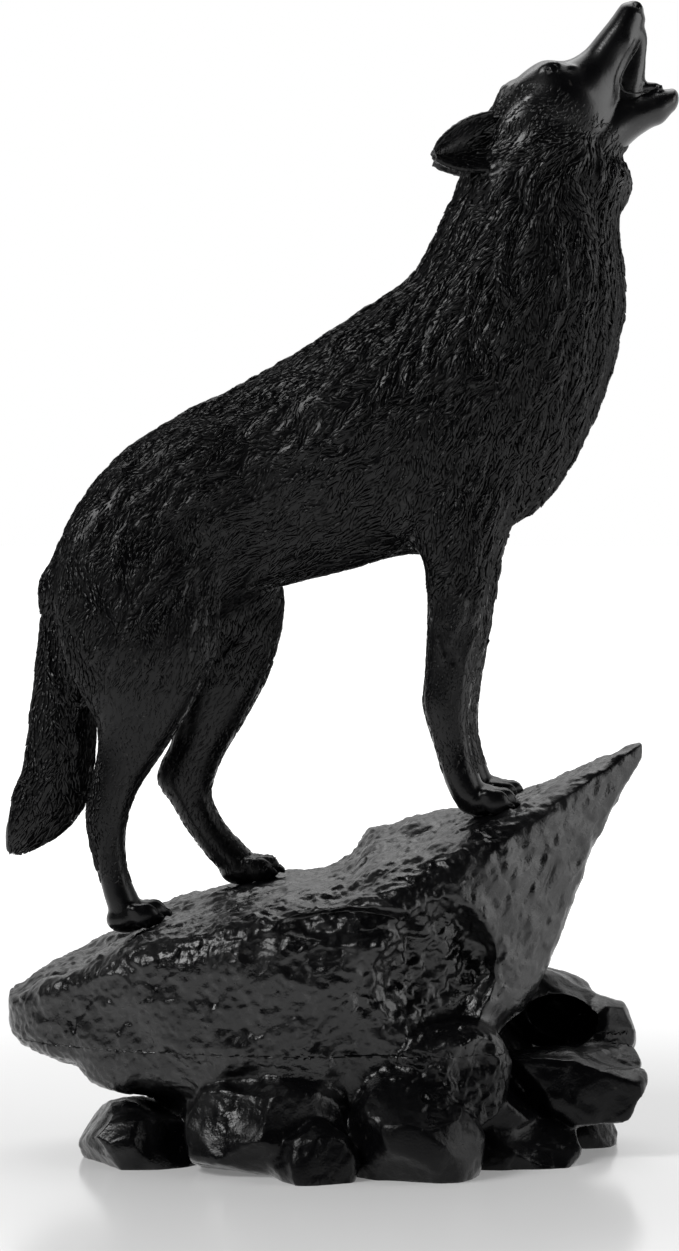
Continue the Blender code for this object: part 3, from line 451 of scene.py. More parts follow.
def smooth_rows(rows, steps):
    """Rows of numbers as one smooth run through all of them, steps rows for each span."""
    rows = np.array(rows, float)
    padded = np.vstack([2 * rows[0] - rows[1], rows, 2 * rows[-1] - rows[-2]])
    out = []
    for i in range(len(rows) - 1):
        a, b, c, d = padded[i : i + 4]
        for t in np.arange(steps) / steps:
            out.append(
                0.5 * (2 * b + (c - a) * t + (2 * a - 5 * b + 4 * c - d) * t**2)
                + 0.5 * (3 * b - a - 3 * c + d) * t**3
            )
    out.append(rows[-1])
    return np.array(out)


def skin_rings(rings):
    """A closed mesh through rings of points, all with the same number of points."""
    bm = bmesh.new()
    loops = [[bm.verts.new(p) for p in ring] for ring in rings]
    for lower, upper in zip(loops, loops[1:]):
        for i in range(len(lower)):
            j = (i + 1) % len(lower)
            bm.faces.new((lower[i], lower[j], upper[j], upper[i]))
    bm.faces.new(loops[0])
    bm.faces.new(loops[-1])
    bmesh.ops.recalc_face_normals(bm, faces=bm.faces)
    return mesh_of(bm, "form")


def limb(stations, side_y=0.0, root_y=None, shift_x=0.0, egg=0.0, full=1.0, around=56, steps=9):
    """A rounded form lofted through outline stations, with domed ends.

    side_y is how far its middle lies from the wolf's own middle plane, and root_y the same at
    its first stations, which are inside the body. egg makes the upper side the broader one,
    and full below 1 makes the cross-section squarer.
    """
    root_y = side_y if root_y is None else root_y
    rows = []
    for i, (front, back, width, share) in enumerate(stations):
        rooted = max(0.0, 1.0 - i / 3)
        y = side_y + (root_y - side_y) * rooted
        ends = [front[0] * MM + shift_x, front[1] * MM, back[0] * MM + shift_x, back[1] * MM]
        rows.append([*ends, width * share / 2, y])
    rows = smooth_rows(rows, steps)
    angles = np.linspace(0, 2 * math.pi, around, endpoint=False)
    rings = []
    for fx, fz, bx, bz, half, y in rows:
        middle = np.array([(fx + bx) / 2, y, (fz + bz) / 2])
        axis = np.array([(fx - bx) / 2, 0.0, (fz - bz) / 2])
        across = half * (1 + egg * np.cos(angles))
        ring = middle + np.outer(np.cos(angles), axis)
        ring[:, 1] += across * np.sign(np.sin(angles)) * np.abs(np.sin(angles)) ** full
        rings.append(ring)
    return skin_rings([*dome(rings[0], rings[1])[::-1], *rings, *dome(rings[-1], rings[-2])])


def dome(end, before):
    """Rings that close an end with a rounded cap, as far out as the end is thick."""
    middle = end.mean(axis=0)
    outward = middle - before.mean(axis=0)
    outward /= np.linalg.norm(outward)
    reach = 0.8 * np.linalg.norm(end - middle, axis=1).min()
    caps = []
    for turn in (0.35, 0.7, 1.05, 1.35):
        caps.append(middle + (end - middle) * math.cos(turn) + outward * reach * math.sin(turn))
    return caps


def ball(centre, radii, tilt_deg=0.0, yaw_deg=0.0):
    """An ellipsoid, tilted in the wolf's side view and turned about the vertical."""
    bm = bmesh.new()
    bmesh.ops.create_icosphere(bm, subdivisions=4, radius=1.0)
    place = (
        Matrix.Translation(centre)
        @ Matrix.Rotation(math.radians(yaw_deg), 4, "Z")
        @ Matrix.Rotation(-math.radians(tilt_deg), 4, "Y")
        @ Matrix.Diagonal((*radii, 1.0))
    )
    bmesh.ops.transform(bm, matrix=place, verts=bm.verts)
    return mesh_of(bm, "ball")


def tube(points, radius, taper=0.35, around=10):
    """A rounded bead along points, thinner at its ends."""
    points = [Vector(p) for p in points]
    rings = []
    for i, p in enumerate(points):
        along = points[min(i + 1, len(points) - 1)] - points[max(i - 1, 0)]
        turn = along.to_track_quat("Z", "Y")
        from_end = min(i, len(points) - 1 - i) / max(1, 0.3 * len(points))
        size = radius * (taper + (1 - taper) * min(1.0, from_end))
        ring = []
        for k in range(around):
            a = 2 * math.pi * k / around
            ring.append(p + turn @ Vector((math.cos(a), math.sin(a), 0.0)) * size)
        rings.append(ring)
    return skin_rings(rings)


def ear(side):
    """A pointed, cupped leaf that lies back along the neck, hollow towards its own side."""
    root = metres(EAR_ROOT[0], 0, EAR_ROOT[1])
    tip = Vector((root.x - EAR_LENGTH, 0, root.z - 0.26 * EAR_LENGTH))
    lengthwise = (tip - root).normalized()
    crosswise = Vector((-lengthwise.z, 0, lengthwise.x))
    outward = Vector((0, side, 0))
    columns, across = 40, 41
    skins = []
    for layer in (1, -1):
        rows = []
        for i in range(columns):
            u = i / (columns - 1)
            half = 0.5 * EAR_WIDTH * (1 - 0.97 * u) ** 0.75 * (1 + 0.9 * u)
            row = []
            for k in range(across):
                v = 2 * k / (across - 1) - 1
                hollow = EAR_CUP * (1 - v * v) * (1 - 0.5 * u**1.5)
                wall = 0.5 * EAR_WALL * math.sqrt(max(0.05, 1 - 0.8 * abs(v) ** 4))
                point = root + lengthwise * EAR_LENGTH * u + crosswise * half * v
                splay = 0.5 * EAR_SPACING + EAR_SPLAY * u**1.4
                row.append(point + outward * (splay - hollow + layer * wall))
            rows.append(row)
        skins.append(rows)
    rings = [skins[0][i] + skins[1][i][::-1] for i in range(columns)]
    lower = [row[-1] - outward * 0.5 * EAR_WALL for row in skins[0][::3]]
    upper = [row[0] - outward * 0.5 * EAR_WALL for row in skins[0][::3]]
    return [skin_rings(rings), tube(lower, 0.9 * MM, 0.8), tube(upper, 0.6 * MM, 0.8)]


def paw(heel, climb_deg, y, shift_x=0.0):
    """A pad, four toes with knuckles and claws, and the sinews that run to them."""
    heel_x, heel_z = heel
    climb = math.radians(climb_deg)
    forward = Vector((math.cos(climb), 0, math.sin(climb)))
    up = Vector((-math.sin(climb), 0, math.cos(climb)))
    base = Vector((heel_x * MM + shift_x, y, heel_z * MM)) - up * PAW_SINK
    pad_centre = base + forward * 0.42 * PAW_LENGTH + up * 0.46 * PAW_HEIGHT
    forms = [ball(pad_centre, (0.40 * PAW_LENGTH, 0.42 * PAW_WIDTH, 0.54 * PAW_HEIGHT), climb_deg)]
    for place, reach in ((-1.5, 0.70), (-0.5, 0.82), (0.5, 0.82), (1.5, 0.70)):
        across = place * PAW_WIDTH / 4.1
        toe = base + forward * reach * PAW_LENGTH + up * 0.40 * PAW_HEIGHT
        toe.y += across
        size = (0.22 * PAW_LENGTH, 0.135 * PAW_WIDTH, 0.42 * PAW_HEIGHT)
        forms.append(ball(toe, size, climb_deg - 22, -4 * place))
        knuckle = toe - forward * 0.13 * PAW_LENGTH + up * 0.24 * PAW_HEIGHT
        forms.append(ball(knuckle, (0.15 * PAW_LENGTH, 0.115 * PAW_WIDTH, 0.22 * PAW_HEIGHT), -10))
        wrist = base + forward * 0.10 * PAW_LENGTH + up * 1.3 * PAW_HEIGHT
        wrist.y += 0.3 * across
        forms.append(tube(smooth_rows([wrist, (wrist + knuckle) / 2, knuckle], 3), 0.55 * MM))
        claw = toe + forward * 0.24 * PAW_LENGTH - up * 0.12 * PAW_HEIGHT
        forms.append(ball(claw, (0.55 * CLAW_LENGTH, 0.24 * CLAW_LENGTH, 0.3 * CLAW_LENGTH), -38))
    return forms


def along_head(x, y, z, ahead, up, out, side):
    """A place near (x, y, z), moved along the muzzle, up from it and out to its side."""
    move = Vector(HEAD_FORWARD) * ahead + Vector(HEAD_UP) * up + Vector((0, side, 0)) * out
    return metres(x, side * y, z) + move * MM


def eye(side):
    """Eyeball with its pupil, the lids over and under it, and the crease above them."""
    forward = Vector(HEAD_FORWARD)
    outward = Vector((-0.1, side * 0.8, 0.6)).normalized()
    rise = outward.cross(forward) * side
    if rise.z < 0:
        rise = -rise
    centre = along_head(*EYE_PLACE, 0, 0, 0, side)
    size = EYE_RADIUS * 0.8
    forms = [ball(centre, (size, size, size))]
    for start, end, reach, lift, thick in LIDS:
        points = []
        for a in np.linspace(start * math.pi, end * math.pi, 17):
            spot = forward * math.cos(a) * 2.1 * reach + rise * math.sin(a) * 1.5 * reach
            points.append(centre + (spot + outward * lift) * MM)
        forms.append(tube(points, thick * MM, 0.5))
    pupil = centre + outward * (size + 0.1 * MM)
    ring = []
    for a in np.linspace(0, 2 * math.pi, 13):
        ring.append(pupil + rise * 0.5 * MM * math.cos(a) + forward * 0.5 * MM * math.sin(a))
    return [*forms, tube(ring, 0.16 * MM, 1.0)]


def brow_and_folds(side):
    """The brow over one eye, the fold that runs down from it and the step to the muzzle."""
    forms = [ball(along_head(*EYE_PLACE, 0, 0, -0.7, side), metres(3.3, 1.5, 2.6), 37)]
    brow = [
        along_head(*EYE_PLACE, -3.8, 0.2, -0.5, side),
        along_head(*EYE_PLACE, -1.4, 1.6, -1.3, side),
        along_head(*EYE_PLACE, 1.6, 1.3, -1.5, side),
        along_head(*EYE_PLACE, 3.8, -0.6, -1.0, side),
    ]
    forms.append(tube(smooth_rows(brow, 5), 0.75 * MM, 0.6))
    fold = [
        along_head(*EYE_PLACE, -2.0, -1.0, 1.6, side),
        along_head(*EYE_PLACE, -3.4, -2.1, 2.3, side),
        along_head(*EYE_PLACE, -4.8, -3.2, 2.8, side),
    ]
    forms.append(tube(smooth_rows(fold, 5), 0.6 * MM))
    forms.append(ball(along_head(*EYE_PLACE, 3.4, -1.8, -0.9, side), metres(2.2, 1.1, 1.2), 30))
    return forms


def face(side):
    """One side of the face: brow, cheek, whisker pad, nostril, a lower fang and the ear."""
    forms = brow_and_folds(side)
    forms += [
        ball(metres(43.0, 8.6 * side, 227.4), metres(5.5, 3.0, 4.6), 40),
        ball(metres(60.2, 3.9 * side, 241.2), metres(4.6, 1.9, 3.0), 52),
        ball(metres(64.1, 1.7 * side, 249.0), metres(1.6, 1.4, 1.5), 30),
        ball(metres(69.5, 2.3 * side, 231.8), metres(0.7, 0.6, 0.8), -12),
    ]
    return forms + ear(side)


def eyes_and_lips():
    """The eyes with their lids and the rims of the mouth, finer than the skin round them."""
    forms = []
    for side in (-1, 1):
        points = [Vector((x * MM, side * JAW_WIDTH * w * 0.62, z * MM)) for x, z, w in LIP]
        short_of_ends = smooth_rows(points, 9)[6:-10]
        forms += [*eye(side), tube(short_of_ends, LIP_RADIUS, 0.5)]
    mesh = fused(forms, EYE_VOXEL)
    relax(mesh, 6, creases_only=True)
    relax(mesh, 1, creases_only=False)
    return mesh


def body_forms():
    """The broad forms, which run into one another with soft creases."""
    hind, fore = HIND_TRACK / 2, FORE_TRACK / 2
    forms = [
        limb(TRUNK, egg=0.08),
        limb(TAIL),
        limb(NEAR_HIND_LEG, -hind, -0.70 * hind),
        limb(FAR_HIND_LEG, hind, 0.70 * hind),
        limb(FORELEG, -fore, -fore),
        limb(FORELEG, fore, fore, FORE_STRIDE),
    ]
    for side in (-1, 1):
        for muscle, offset in ((SHOULDER, 0.31 * CHEST_WIDTH), (CHEEK, 0.31 * NECK_WIDTH)):
            (x, z), half_size, tilt = muscle
            forms.append(ball(Vector((x * MM, side * offset, z * MM)), metres(*half_size), tilt))
    return forms


def fine_forms():
    """The head, the ears, the paws and the sinews of the legs."""
    hind, fore = HIND_TRACK / 2, FORE_TRACK / 2
    forms = [
        limb(SKULL, egg=0.10, full=0.75),
        limb(JAW),
        limb(MOUTH),
        ball(metres(63.7, 0, 248.4), metres(2.4, 2.9, 2.3), 30),
        ball(metres(65.2, 0, 231.6), metres(4.6, 2.3, 1.3), 12),
    ]
    forms += paw(*NEAR_HIND_PAW, -hind)
    forms += paw(*FAR_HIND_PAW, hind)
    forms += paw(*NEAR_FORE_PAW, -fore)
    forms += paw(*NEAR_FORE_PAW, fore, FORE_STRIDE)
    for side in (-1, 1):
        forms += face(side)
    return forms


def slab():
    """The tilted slab, lofted along X through squarish cross-sections."""
    rows = []
    for x, far_top, near_top, under, near, far in SLAB:
        near_y, far_y = -near * LEDGE_DEPTH_NEAR, far * LEDGE_DEPTH_FAR
        rows.append([x * MM, far_top * MM, near_top * MM, under * MM, near_y, far_y])
    rings = []
    for x, far_top, near_top, under, near_y, far_y in smooth_rows(rows, 6):
        ring = []
        for k in range(64):
            a = 2 * math.pi * k / 64
            p = math.copysign(abs(math.cos(a)) ** 0.38, math.cos(a))
            q = math.copysign(abs(math.sin(a)) ** 0.38, math.sin(a))
            across, rise = (p + 1) / 2, (q + 1) / 2
            top = near_top + (far_top - near_top) * across
            y = near_y + (far_y - near_y) * across
            y *= 0.86 + 0.14 * rise
            ring.append(Vector((x, y, under + (top - under) * rise)))
        rings.append(ring)
    return skin_rings(rings)


def boulder(centre, half_size, square, seed):
    """A rounded block chipped flat on several sides."""
    bm = bmesh.new()
    bmesh.ops.create_icosphere(bm, subdivisions=6, radius=1.0)
    noise.seed_set(seed)
    cuts = [noise.random_unit_vector() for _ in range(9)]
    depths = [0.74 + 0.2 * noise.random() for _ in cuts]
    for vert in bm.verts:
        widest = max(abs(c) for c in vert.co)
        vert.co *= 1 + 0.7 * square * (1 / widest - 1)
        for cut, depth in zip(cuts, depths):
            over = vert.co.dot(cut) - depth
            if over > 0:
                vert.co -= cut * over
    place = Matrix.Translation(metres(*centre)) @ Matrix.Diagonal((*metres(*half_size), 1.0))
    bmesh.ops.transform(bm, matrix=place, verts=bm.verts)
    return mesh_of(bm, "boulder")


def applied(mesh, kind, **settings):
    """The mesh with one modifier run on it."""
    obj = add_object("work", mesh)
    modifier = obj.modifiers.new("work", kind)
    for name, value in settings.items():
        setattr(modifier, name, value)
    graph = bpy.context.evaluated_depsgraph_get()
    result = bpy.data.meshes.new_from_object(obj.evaluated_get(graph))
    bpy.data.objects.remove(obj)
    return result


def fused(forms, voxel):
    """One skin round all the forms, at the given voxel size."""
    bm = bmesh.new()
    for mesh in forms:
        bm.from_mesh(mesh)
    return applied(mesh_of(bm, "joined"), "REMESH", mode="VOXEL", voxel_size=voxel)


def thinned(mesh, triangles):
    """Fewer triangles where the form is flat."""
    faces = sum(len(p.vertices) - 2 for p in mesh.polygons)
    if faces <= triangles:
        return mesh
    return applied(mesh, "DECIMATE", ratio=triangles / faces)


def read(mesh, what="co"):
    values = np.empty(len(mesh.vertices) * 3, np.float32)
    mesh.vertices.foreach_get(what, values)
    return values.reshape(-1, 3).astype(float)


def write(mesh, points):
    mesh.vertices.foreach_set("co", points.astype(np.float32).ravel())
    mesh.update()


def relax(mesh, rounds, creases_only):
    """Evens the skin out; with creases_only it only fills inward corners, like a fillet."""
    ends = np.empty(len(mesh.edges) * 2, np.int32)
    mesh.edges.foreach_get("vertices", ends)
    a, b = ends.reshape(-1, 2).T
    count = len(mesh.vertices)
    degree = np.bincount(ends, minlength=count)[:, None]
    points = read(mesh)
    for _ in range(rounds):
        total = np.empty_like(points)
        for axis in range(3):
            total[:, axis] = np.bincount(a, points[b, axis], count)
            total[:, axis] += np.bincount(b, points[a, axis], count)
        pull = total / degree - points
        if creases_only:
            normals = read(mesh, "normal")
            outward = np.maximum((pull * normals).sum(axis=1), 0.0)
            pull = normals * outward[:, None]
        points += 0.6 * pull
        write(mesh, points)


def press(mesh, centre, radii, push):
    """Moves the skin by push at centre, fading out at the radii, all in millimetres."""
    points = read(mesh)
    reach = np.linalg.norm((points - np.array(centre) * MM) / (np.array(radii) * MM), axis=1)
    share = np.clip(1 - reach**2, 0, 1) ** 1.5
    write(mesh, points + share[:, None] * np.array(push) * MM)


def wave(points, size, seed=0.0, stretch=(1, 1, 1)):
    """Smooth noise from -1 to 1 over the points, its waves about as long as size."""
    scaled = points / (size * np.array(stretch, float)) + seed
    return np.array([noise.noise(Vector(p)) for p in scaled])


def chips(points, size, seed=0.0, edge=CHIP_EDGE):
    """Tilted flat chips: for each point, how high its chip stands there, from -1 to 1."""
    out = np.empty(len(points))
    for i, p in enumerate(points / size + seed):
        gaps, centres, *_ = noise.voronoi(Vector(p))
        total = weights = 0.0
        for gap, centre in zip(gaps[:3], centres):
            weight = math.exp(edge * (gaps[0] - gap))
            tilt = noise.noise_vector(centre * 3.7)
            height = 1.3 * tilt.dot(Vector(p) - centre) + 0.7 * noise.noise(centre * 5.1)
            total += weight * height
            weights += weight
        out[i] = total / weights
    return out


def fine_chips(share, points, size, seed):
    """Sharp-edged chips in millimetres, as high as their share, worked out only where it counts."""
    out = np.zeros(len(points))
    counts = share > 0.01
    out[counts] = share[counts] * MM * chips(points[counts], size * MM, seed, FINE_EDGE)
    return out


def coat_share(points):
    """How long the coat is at each point: 0 on face and lower legs, 1.5 on the mane."""
    x, z = points[:, 0], points[:, 2]
    body = np.where(x < RUMP_X, 1.0, ramp(z, ELBOW_Z - COAT_FADE, ELBOW_Z))
    mane = 1.0 + 0.5 * ramp(x, WITHERS_X, WITHERS_X + COAT_FADE)
    edge = CHEEK_Z - np.where(x > CHEEK_X, 0.22, 0.4) * (x - CHEEK_X)
    return body * mane * ramp(edge - z, 0.0, 0.2 * COAT_FADE)


def flow_at(points, rng=None):
    """Which way the coat lies at each point, from the table of directions and a slow waver."""
    place = np.array([row[0] for row in COAT_FLOW], float) * MM
    way = np.array([row[1] for row in COAT_FLOW], float)
    gap = np.linalg.norm(points[:, None, [0, 2]] - place[None, :, :], axis=2)
    lie = (1 / (gap + 2 * MM) ** 3) @ way
    lie /= np.linalg.norm(lie, axis=1)[:, None]
    turn = 0.95 * wave(points, 5.5 * MM)
    if rng is not None:
        turn += rng.normal(0, 0.2, len(points)) + 0.6 * wave(points, 2.4 * MM, 11.0)
    c, s = np.cos(turn), np.sin(turn)
    out = np.zeros((len(points), 3))
    out[:, 0] = c * lie[:, 0] - s * lie[:, 1]
    out[:, 2] = s * lie[:, 0] + c * lie[:, 1]
    return out


def coat_spots(tree, low, high):
    """Where the body's locks are rooted: a jittered grid seen from its sides, ends and back."""
    looks = []
    for z in np.arange(low.z, high.z, LOCK_SPACING):
        for x in np.arange(low.x, high.x, LOCK_SPACING):
            looks.append(((x, 2 * low.y, z), (0, 1, 0)))
            looks.append(((x, 2 * high.y, z), (0, -1, 0)))
        for y in np.arange(low.y, high.y, LOCK_SPACING):
            looks.append(((2 * high.x, y, z), (-1, 0, 0)))
            looks.append(((2 * low.x, y, z), (1, 0, 0)))
    for x in np.arange(low.x, WITHERS_X, LOCK_SPACING):
        for y in np.arange(low.y, high.y, LOCK_SPACING):
            looks.append(((x, y, 2 * high.z), (0, 0, -1)))
    spots = []
    for start, way in looks:
        jitter = noise.noise_vector(Vector(start) / (2.7 * MM)) * 0.6 * LOCK_SPACING
        spot, normal, _, _ = tree.ray_cast(Vector(start) + jitter, Vector(way))
        if spot is not None and normal.dot(Vector(way)) < -0.4:
            spots.append(spot)
    return np.array(spots)


def kept_inside(points):
    """Eases the points that would pass the drawn sides back within them."""
    for axis, way, limit in DRAWN_SIDES:
        over = way * points[:, axis] / MM - (limit - SIDE_EASING)
        eased = SIDE_EASING * np.tanh(over / SIDE_EASING)
        points[:, axis] += way * MM * np.where(over > 0, eased - over, 0.0)
    return points


def mesh_from(name, points, triangles):
    mesh = bpy.data.meshes.new(name)
    mesh.vertices.add(len(points))
    mesh.vertices.foreach_set("co", points.astype(np.float32).ravel())
    mesh.loops.add(3 * len(triangles))
    mesh.loops.foreach_set("vertex_index", triangles.astype(np.int32).ravel())
    mesh.polygons.add(len(triangles))
    mesh.polygons.foreach_set("loop_start", np.arange(0, 3 * len(triangles), 3, dtype=np.int32))
    mesh.update(calc_edges=True)
    return mesh


def strokes(name, tree, points, size, kind, rng=None):
    """A mesh of closed, tapered strokes, rooted in the skin with their tips standing out."""
    length, breadth, height, tip, sunk = kind
    way = flow_at(points, rng)
    bend = np.zeros(len(points))
    if rng is not None:
        size = size * rng.uniform(0.75, 1.25, len(points))
        bend = rng.normal(0, 0.25 * breadth, len(points))
    rows = []
    for stop, wide, high in LOCK_SHAPE:
        spots = points + way * (stop * length * size)[:, None]
        found = [tree.find_nearest(Vector(p)) for p in spots]
        ground = np.array([hit[0] for hit in found])
        normal = np.array([hit[1] for hit in found])
        side = np.cross(normal, way)
        side /= np.linalg.norm(side, axis=1)[:, None] + 1e-9
        ground = ground + side * (bend * math.cos(3.2 * stop))[:, None]
        lift = tip if stop == LOCK_SHAPE[-1][0] else height * high
        top = ground + normal * (lift * size)[:, None]
        if wide == 0.0:
            rows.append(top[:, None, :])
        else:
            foot = ground - normal * sunk
            reach = side * (wide * breadth / 2 * size)[:, None]
            rows.append(np.stack([foot - reach, top, foot + reach], axis=1))
    stroke = np.concatenate(rows, axis=1)
    faces = [(0, 2, 1), (0, 3, 2), (0, 1, 3)]
    for ring in (1, 4):
        for k in range(3):
            a, b = ring + k, ring + (k + 1) % 3
            faces += [(a, b, b + 3), (a, b + 3, a + 3)]
    faces += [(7, 8, 10), (8, 9, 10), (9, 7, 10)]
    faces = np.array(faces)
    corners = stroke[:, faces] - stroke.mean(axis=1)[:, None, None, :]
    volume = np.linalg.det(corners).sum(axis=1)
    numbers = faces[None] + stroke.shape[1] * np.arange(len(stroke))[:, None, None]
    numbers[volume < 0] = numbers[volume < 0][:, :, ::-1]
    return mesh_from(name, kept_inside(stroke.reshape(-1, 3)), numbers.reshape(-1, 3))


def search_tree(mesh):
    return BVHTree.FromPolygons(read(mesh).tolist(), [list(p.vertices) for p in mesh.polygons])


def locks(body):
    """The coarse locks of the coat on mane, back, haunches and tail."""
    points = read(body)
    tree = search_tree(body)
    spots = coat_spots(tree, Vector(points.min(axis=0)), Vector(points.max(axis=0)))
    share = coat_share(spots)
    spots, share = spots[share > 0.5], share[share > 0.5]
    size = (0.45 + 0.45 * share) * (1 + 0.5 * wave(spots, 3.1 * MM, 41.0))
    kind = (LOCK_LENGTH, LOCK_BREADTH, LOCK_HEIGHT, LOCK_LIFT, LOCK_HEIGHT)
    return strokes("locks", tree, spots, size, kind)


def wolf_skin():
    noise.seed_set(LOCK_SEED)
    body = fused(body_forms(), BODY_VOXEL)
    relax(body, 45, creases_only=True)
    relax(body, 2, creases_only=False)
    skin = fused([body, locks(body), *fine_forms()], WOLF_VOXEL)
    relax(skin, 14, creases_only=True)
    relax(skin, 2, creases_only=False)
    press(skin, (68.2, 0, 238.6), (4.2, 2.5, 6.4), (-5.0, 0, -0.6))
    for side in (-1, 1):
        press(skin, (64.6, 2.5 * side, 249.6), (1.1, 1.1, 0.9), (-0.5, -1.0 * side, -0.6))
        press(skin, (38.8, 9.6 * side, 231.6), (3.4, 2.6, 2.2), (0.1, -0.4 * side, -0.2))
        press(skin, (52.0, 7.2 * side, 229.2), (5.2, 3.2, 3.6), (0, -1.1 * side, 0))
    return thinned(skin, WOLF_TRIANGLES)


def corners_of(mesh):
    """The three corners of every triangle."""
    mesh.calc_loop_triangles()
    index = np.empty(len(mesh.loop_triangles) * 3, np.int32)
    mesh.loop_triangles.foreach_get("vertices", index)
    return read(mesh)[index.reshape(-1, 3)]


def scatter(mesh, spacing, part, rng):
    """Points on the skin in one part of the coat, about one for each cell of the given size."""
    corners = corners_of(mesh)
    across = np.cross(corners[:, 1] - corners[:, 0], corners[:, 2] - corners[:, 0])
    area = np.linalg.norm(across, axis=1)
    count = int(5 * area.sum() / 2 / spacing**2)
    picked = rng.choice(len(area), count, p=area / area.sum())
    u, v = rng.random((2, count))
    fold = u + v > 1
    u, v = np.where(fold, 1 - u, u), np.where(fold, 1 - v, v)
    c = corners[picked]
    points = c[:, 0] + u[:, None] * (c[:, 1] - c[:, 0]) + v[:, None] * (c[:, 2] - c[:, 0])
    points = points[coat_parts(points)[part]]
    cells = np.floor(points / spacing + 0.5 * points[:, [1, 2, 0]] / spacing).astype(int)
    _, first = np.unique(cells, axis=0, return_index=True)
    return points[np.sort(first)]


def dressed(name, mesh):
    """The mesh as a piece of the visual model."""
    mesh.polygons.foreach_set("use_smooth", np.ones(len(mesh.polygons), bool))
    piece = add_object(name, mesh)
    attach(piece, "root")
    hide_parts(NODE)
    return piece


def press_hollows(mesh):
    """Pushes the near side of the crag inwards, towards +Y, round each hollow."""
    for centre, half_size, depth in HOLLOWS:
        points = read(mesh)
        facing = np.clip(-1.6 * read(mesh, "normal")[:, 1], 0, 1)
        offset = (points - np.array(metres(*centre))) / (np.array(half_size) * MM)
        share = np.clip(1.5 - 1.5 * np.linalg.norm(offset, axis=1) ** 3, 0, 1)
        points[:, 1] += share * facing * depth * MM
        write(mesh, points)
        relax(mesh, 2, creases_only=False)


def rock_relief(points, normal):
    """How far out the rock's skin stands at each point.

    Coarse chips and waves lie all over it, as on the solid, and finer ones on each kind of face:
    the slab's upper side, its broken side with the recess, the dripping prow, the boulders and
    the crumpled one among them.
    """
    x, y, z = (points / MM).T
    slanted = points @ np.array([[0.7, 0, 0.7], [0, 1, 0], [-0.7, 0, 0.7]])
    ahead = points[:, 0] + 0.6 * (points[:, 2] - LEDGE_HEIGHT)
    prow = ramp(ahead, PROW_START, PROW_START + PROW_LENGTH) * ramp(z - 30, 0, 8)
    slab_share = ramp(z - np.maximum(19.0, 24.0 + 0.42 * x), -5, 5) * ramp(x, 66, 60)
    upward = np.clip(normal[:, 2], 0, 1) ** 2
    top = upward * slab_share
    side = (1 - upward) * slab_share
    face = side * (1 - prow)
    recess = face * ramp(np.hypot((x - 21) / 17, (z - 42) / 19), 1.1, 0.8) * (y < 0)
    crumpled = ramp(np.hypot(np.hypot(x - 24, y + 34), z - 22), 16, 11) * (1 - slab_share)

    coarse = CHIP_RELIEF * chips(points, CHIP_SIZE)
    coarse += WAVE_RELIEF * wave(points, WAVE_SIZE, 3.0, (1.6, 1, 0.8))
    rough = (1 - PROW_WEAR * prow) * coarse
    rough += face * 0.35 * MM * wave(slanted, 3.6 * MM, 5.0, (1.0, 1.0, 2.0))
    drips = wave(slanted, 2.8 * MM, 31.0, (0.8, 0.8, 2.8))
    drips += 0.5 * wave(slanted, 1.5 * MM, 37.0, (0.8, 0.8, 3.2))
    rough += side * prow * 0.4 * MM * drips
    wrinkles = wave(points, 2.4 * MM, 23.0, (3.4, 1.0, 1.0))
    wrinkles += 0.6 * wave(points, 1.4 * MM, 29.0, (2.4, 1.0, 1.0))
    rough += top * 0.5 * MM * wrinkles
    grain = 0.5 * wave(points, 1.9 * MM, 7.0) + 0.5 * wave(points, 1.05 * MM, 19.0)
    rough += grain * MM * (0.18 + 0.34 * face + 0.3 * top)
    for share, size, seed in (
        (0.5 * face, 5.0, 2.0),
        (1.5 * recess, 6.2, 9.0),
        (0.9 * (recess + crumpled), 2.6, 4.0),
        (1.1 * crumpled, 4.4, 3.0),
        (0.3 * side * prow, 4.6, 8.0),
        (0.55 * top, 4.2, 6.0),
        (0.35 * (1 - slab_share), 7.0, 13.0),
    ):
        rough += fine_chips(share, points, size, seed)
    return rough


def crag():
    """The whole rock: a craggy slab with a smooth, dripping prow, on rounded boulders."""
    forms = [slab()] + [boulder(*row, seed) for seed, row in enumerate(BOULDERS, start=1)]
    skin = fused(forms, ROCK_VOXEL)
    relax(skin, 50, creases_only=True)
    press_hollows(skin)
    points = read(skin)
    normal = read(skin, "normal")
    write(skin, kept_inside(points + normal * rock_relief(points, normal)[:, None]))
    return skin


def cut_at(mesh, height, keep_above):
    """The part of a mesh above or below a level, closed along the cut."""
    bm = bmesh.new()
    bm.from_mesh(mesh)
    bmesh.ops.bisect_plane(
        bm,
        geom=[*bm.verts, *bm.edges, *bm.faces],
        plane_co=(0, 0, height),
        plane_no=(0, 0, -1) if keep_above else (0, 0, 1),
        clear_outer=True,
    )
    rim = [edge for edge in bm.edges if edge.is_boundary]
    for edge in rim:
        edge.smooth = False
    bmesh.ops.triangle_fill(bm, use_beauty=False, edges=rim)
    bmesh.ops.recalc_face_normals(bm, faces=bm.faces)
    return mesh_of(bm, "cut")


def add_node(tree, kind, values=(), **settings):
    """A shader node, with values for its inputs by name or number, and its other settings."""
    node = tree.nodes.new("ShaderNode" + kind)
    for name, setting in settings.items():
        setattr(node, name, setting)
    for key, value in dict(values).items():
        node.inputs[key].default_value = value
    return node


def stretched(tree, source, before, after, curve="LINEAR"):
    """A socket's value carried over from one span to another."""
    span = add_node(tree, "MapRange", interpolation_type=curve)
    for name, value in zip(("From Min", "From Max", "To Min", "To Max"), (*before, *after)):
        span.inputs[name].default_value = value
    tree.links.new(source, span.inputs["Value"])
    return span.outputs["Result"]


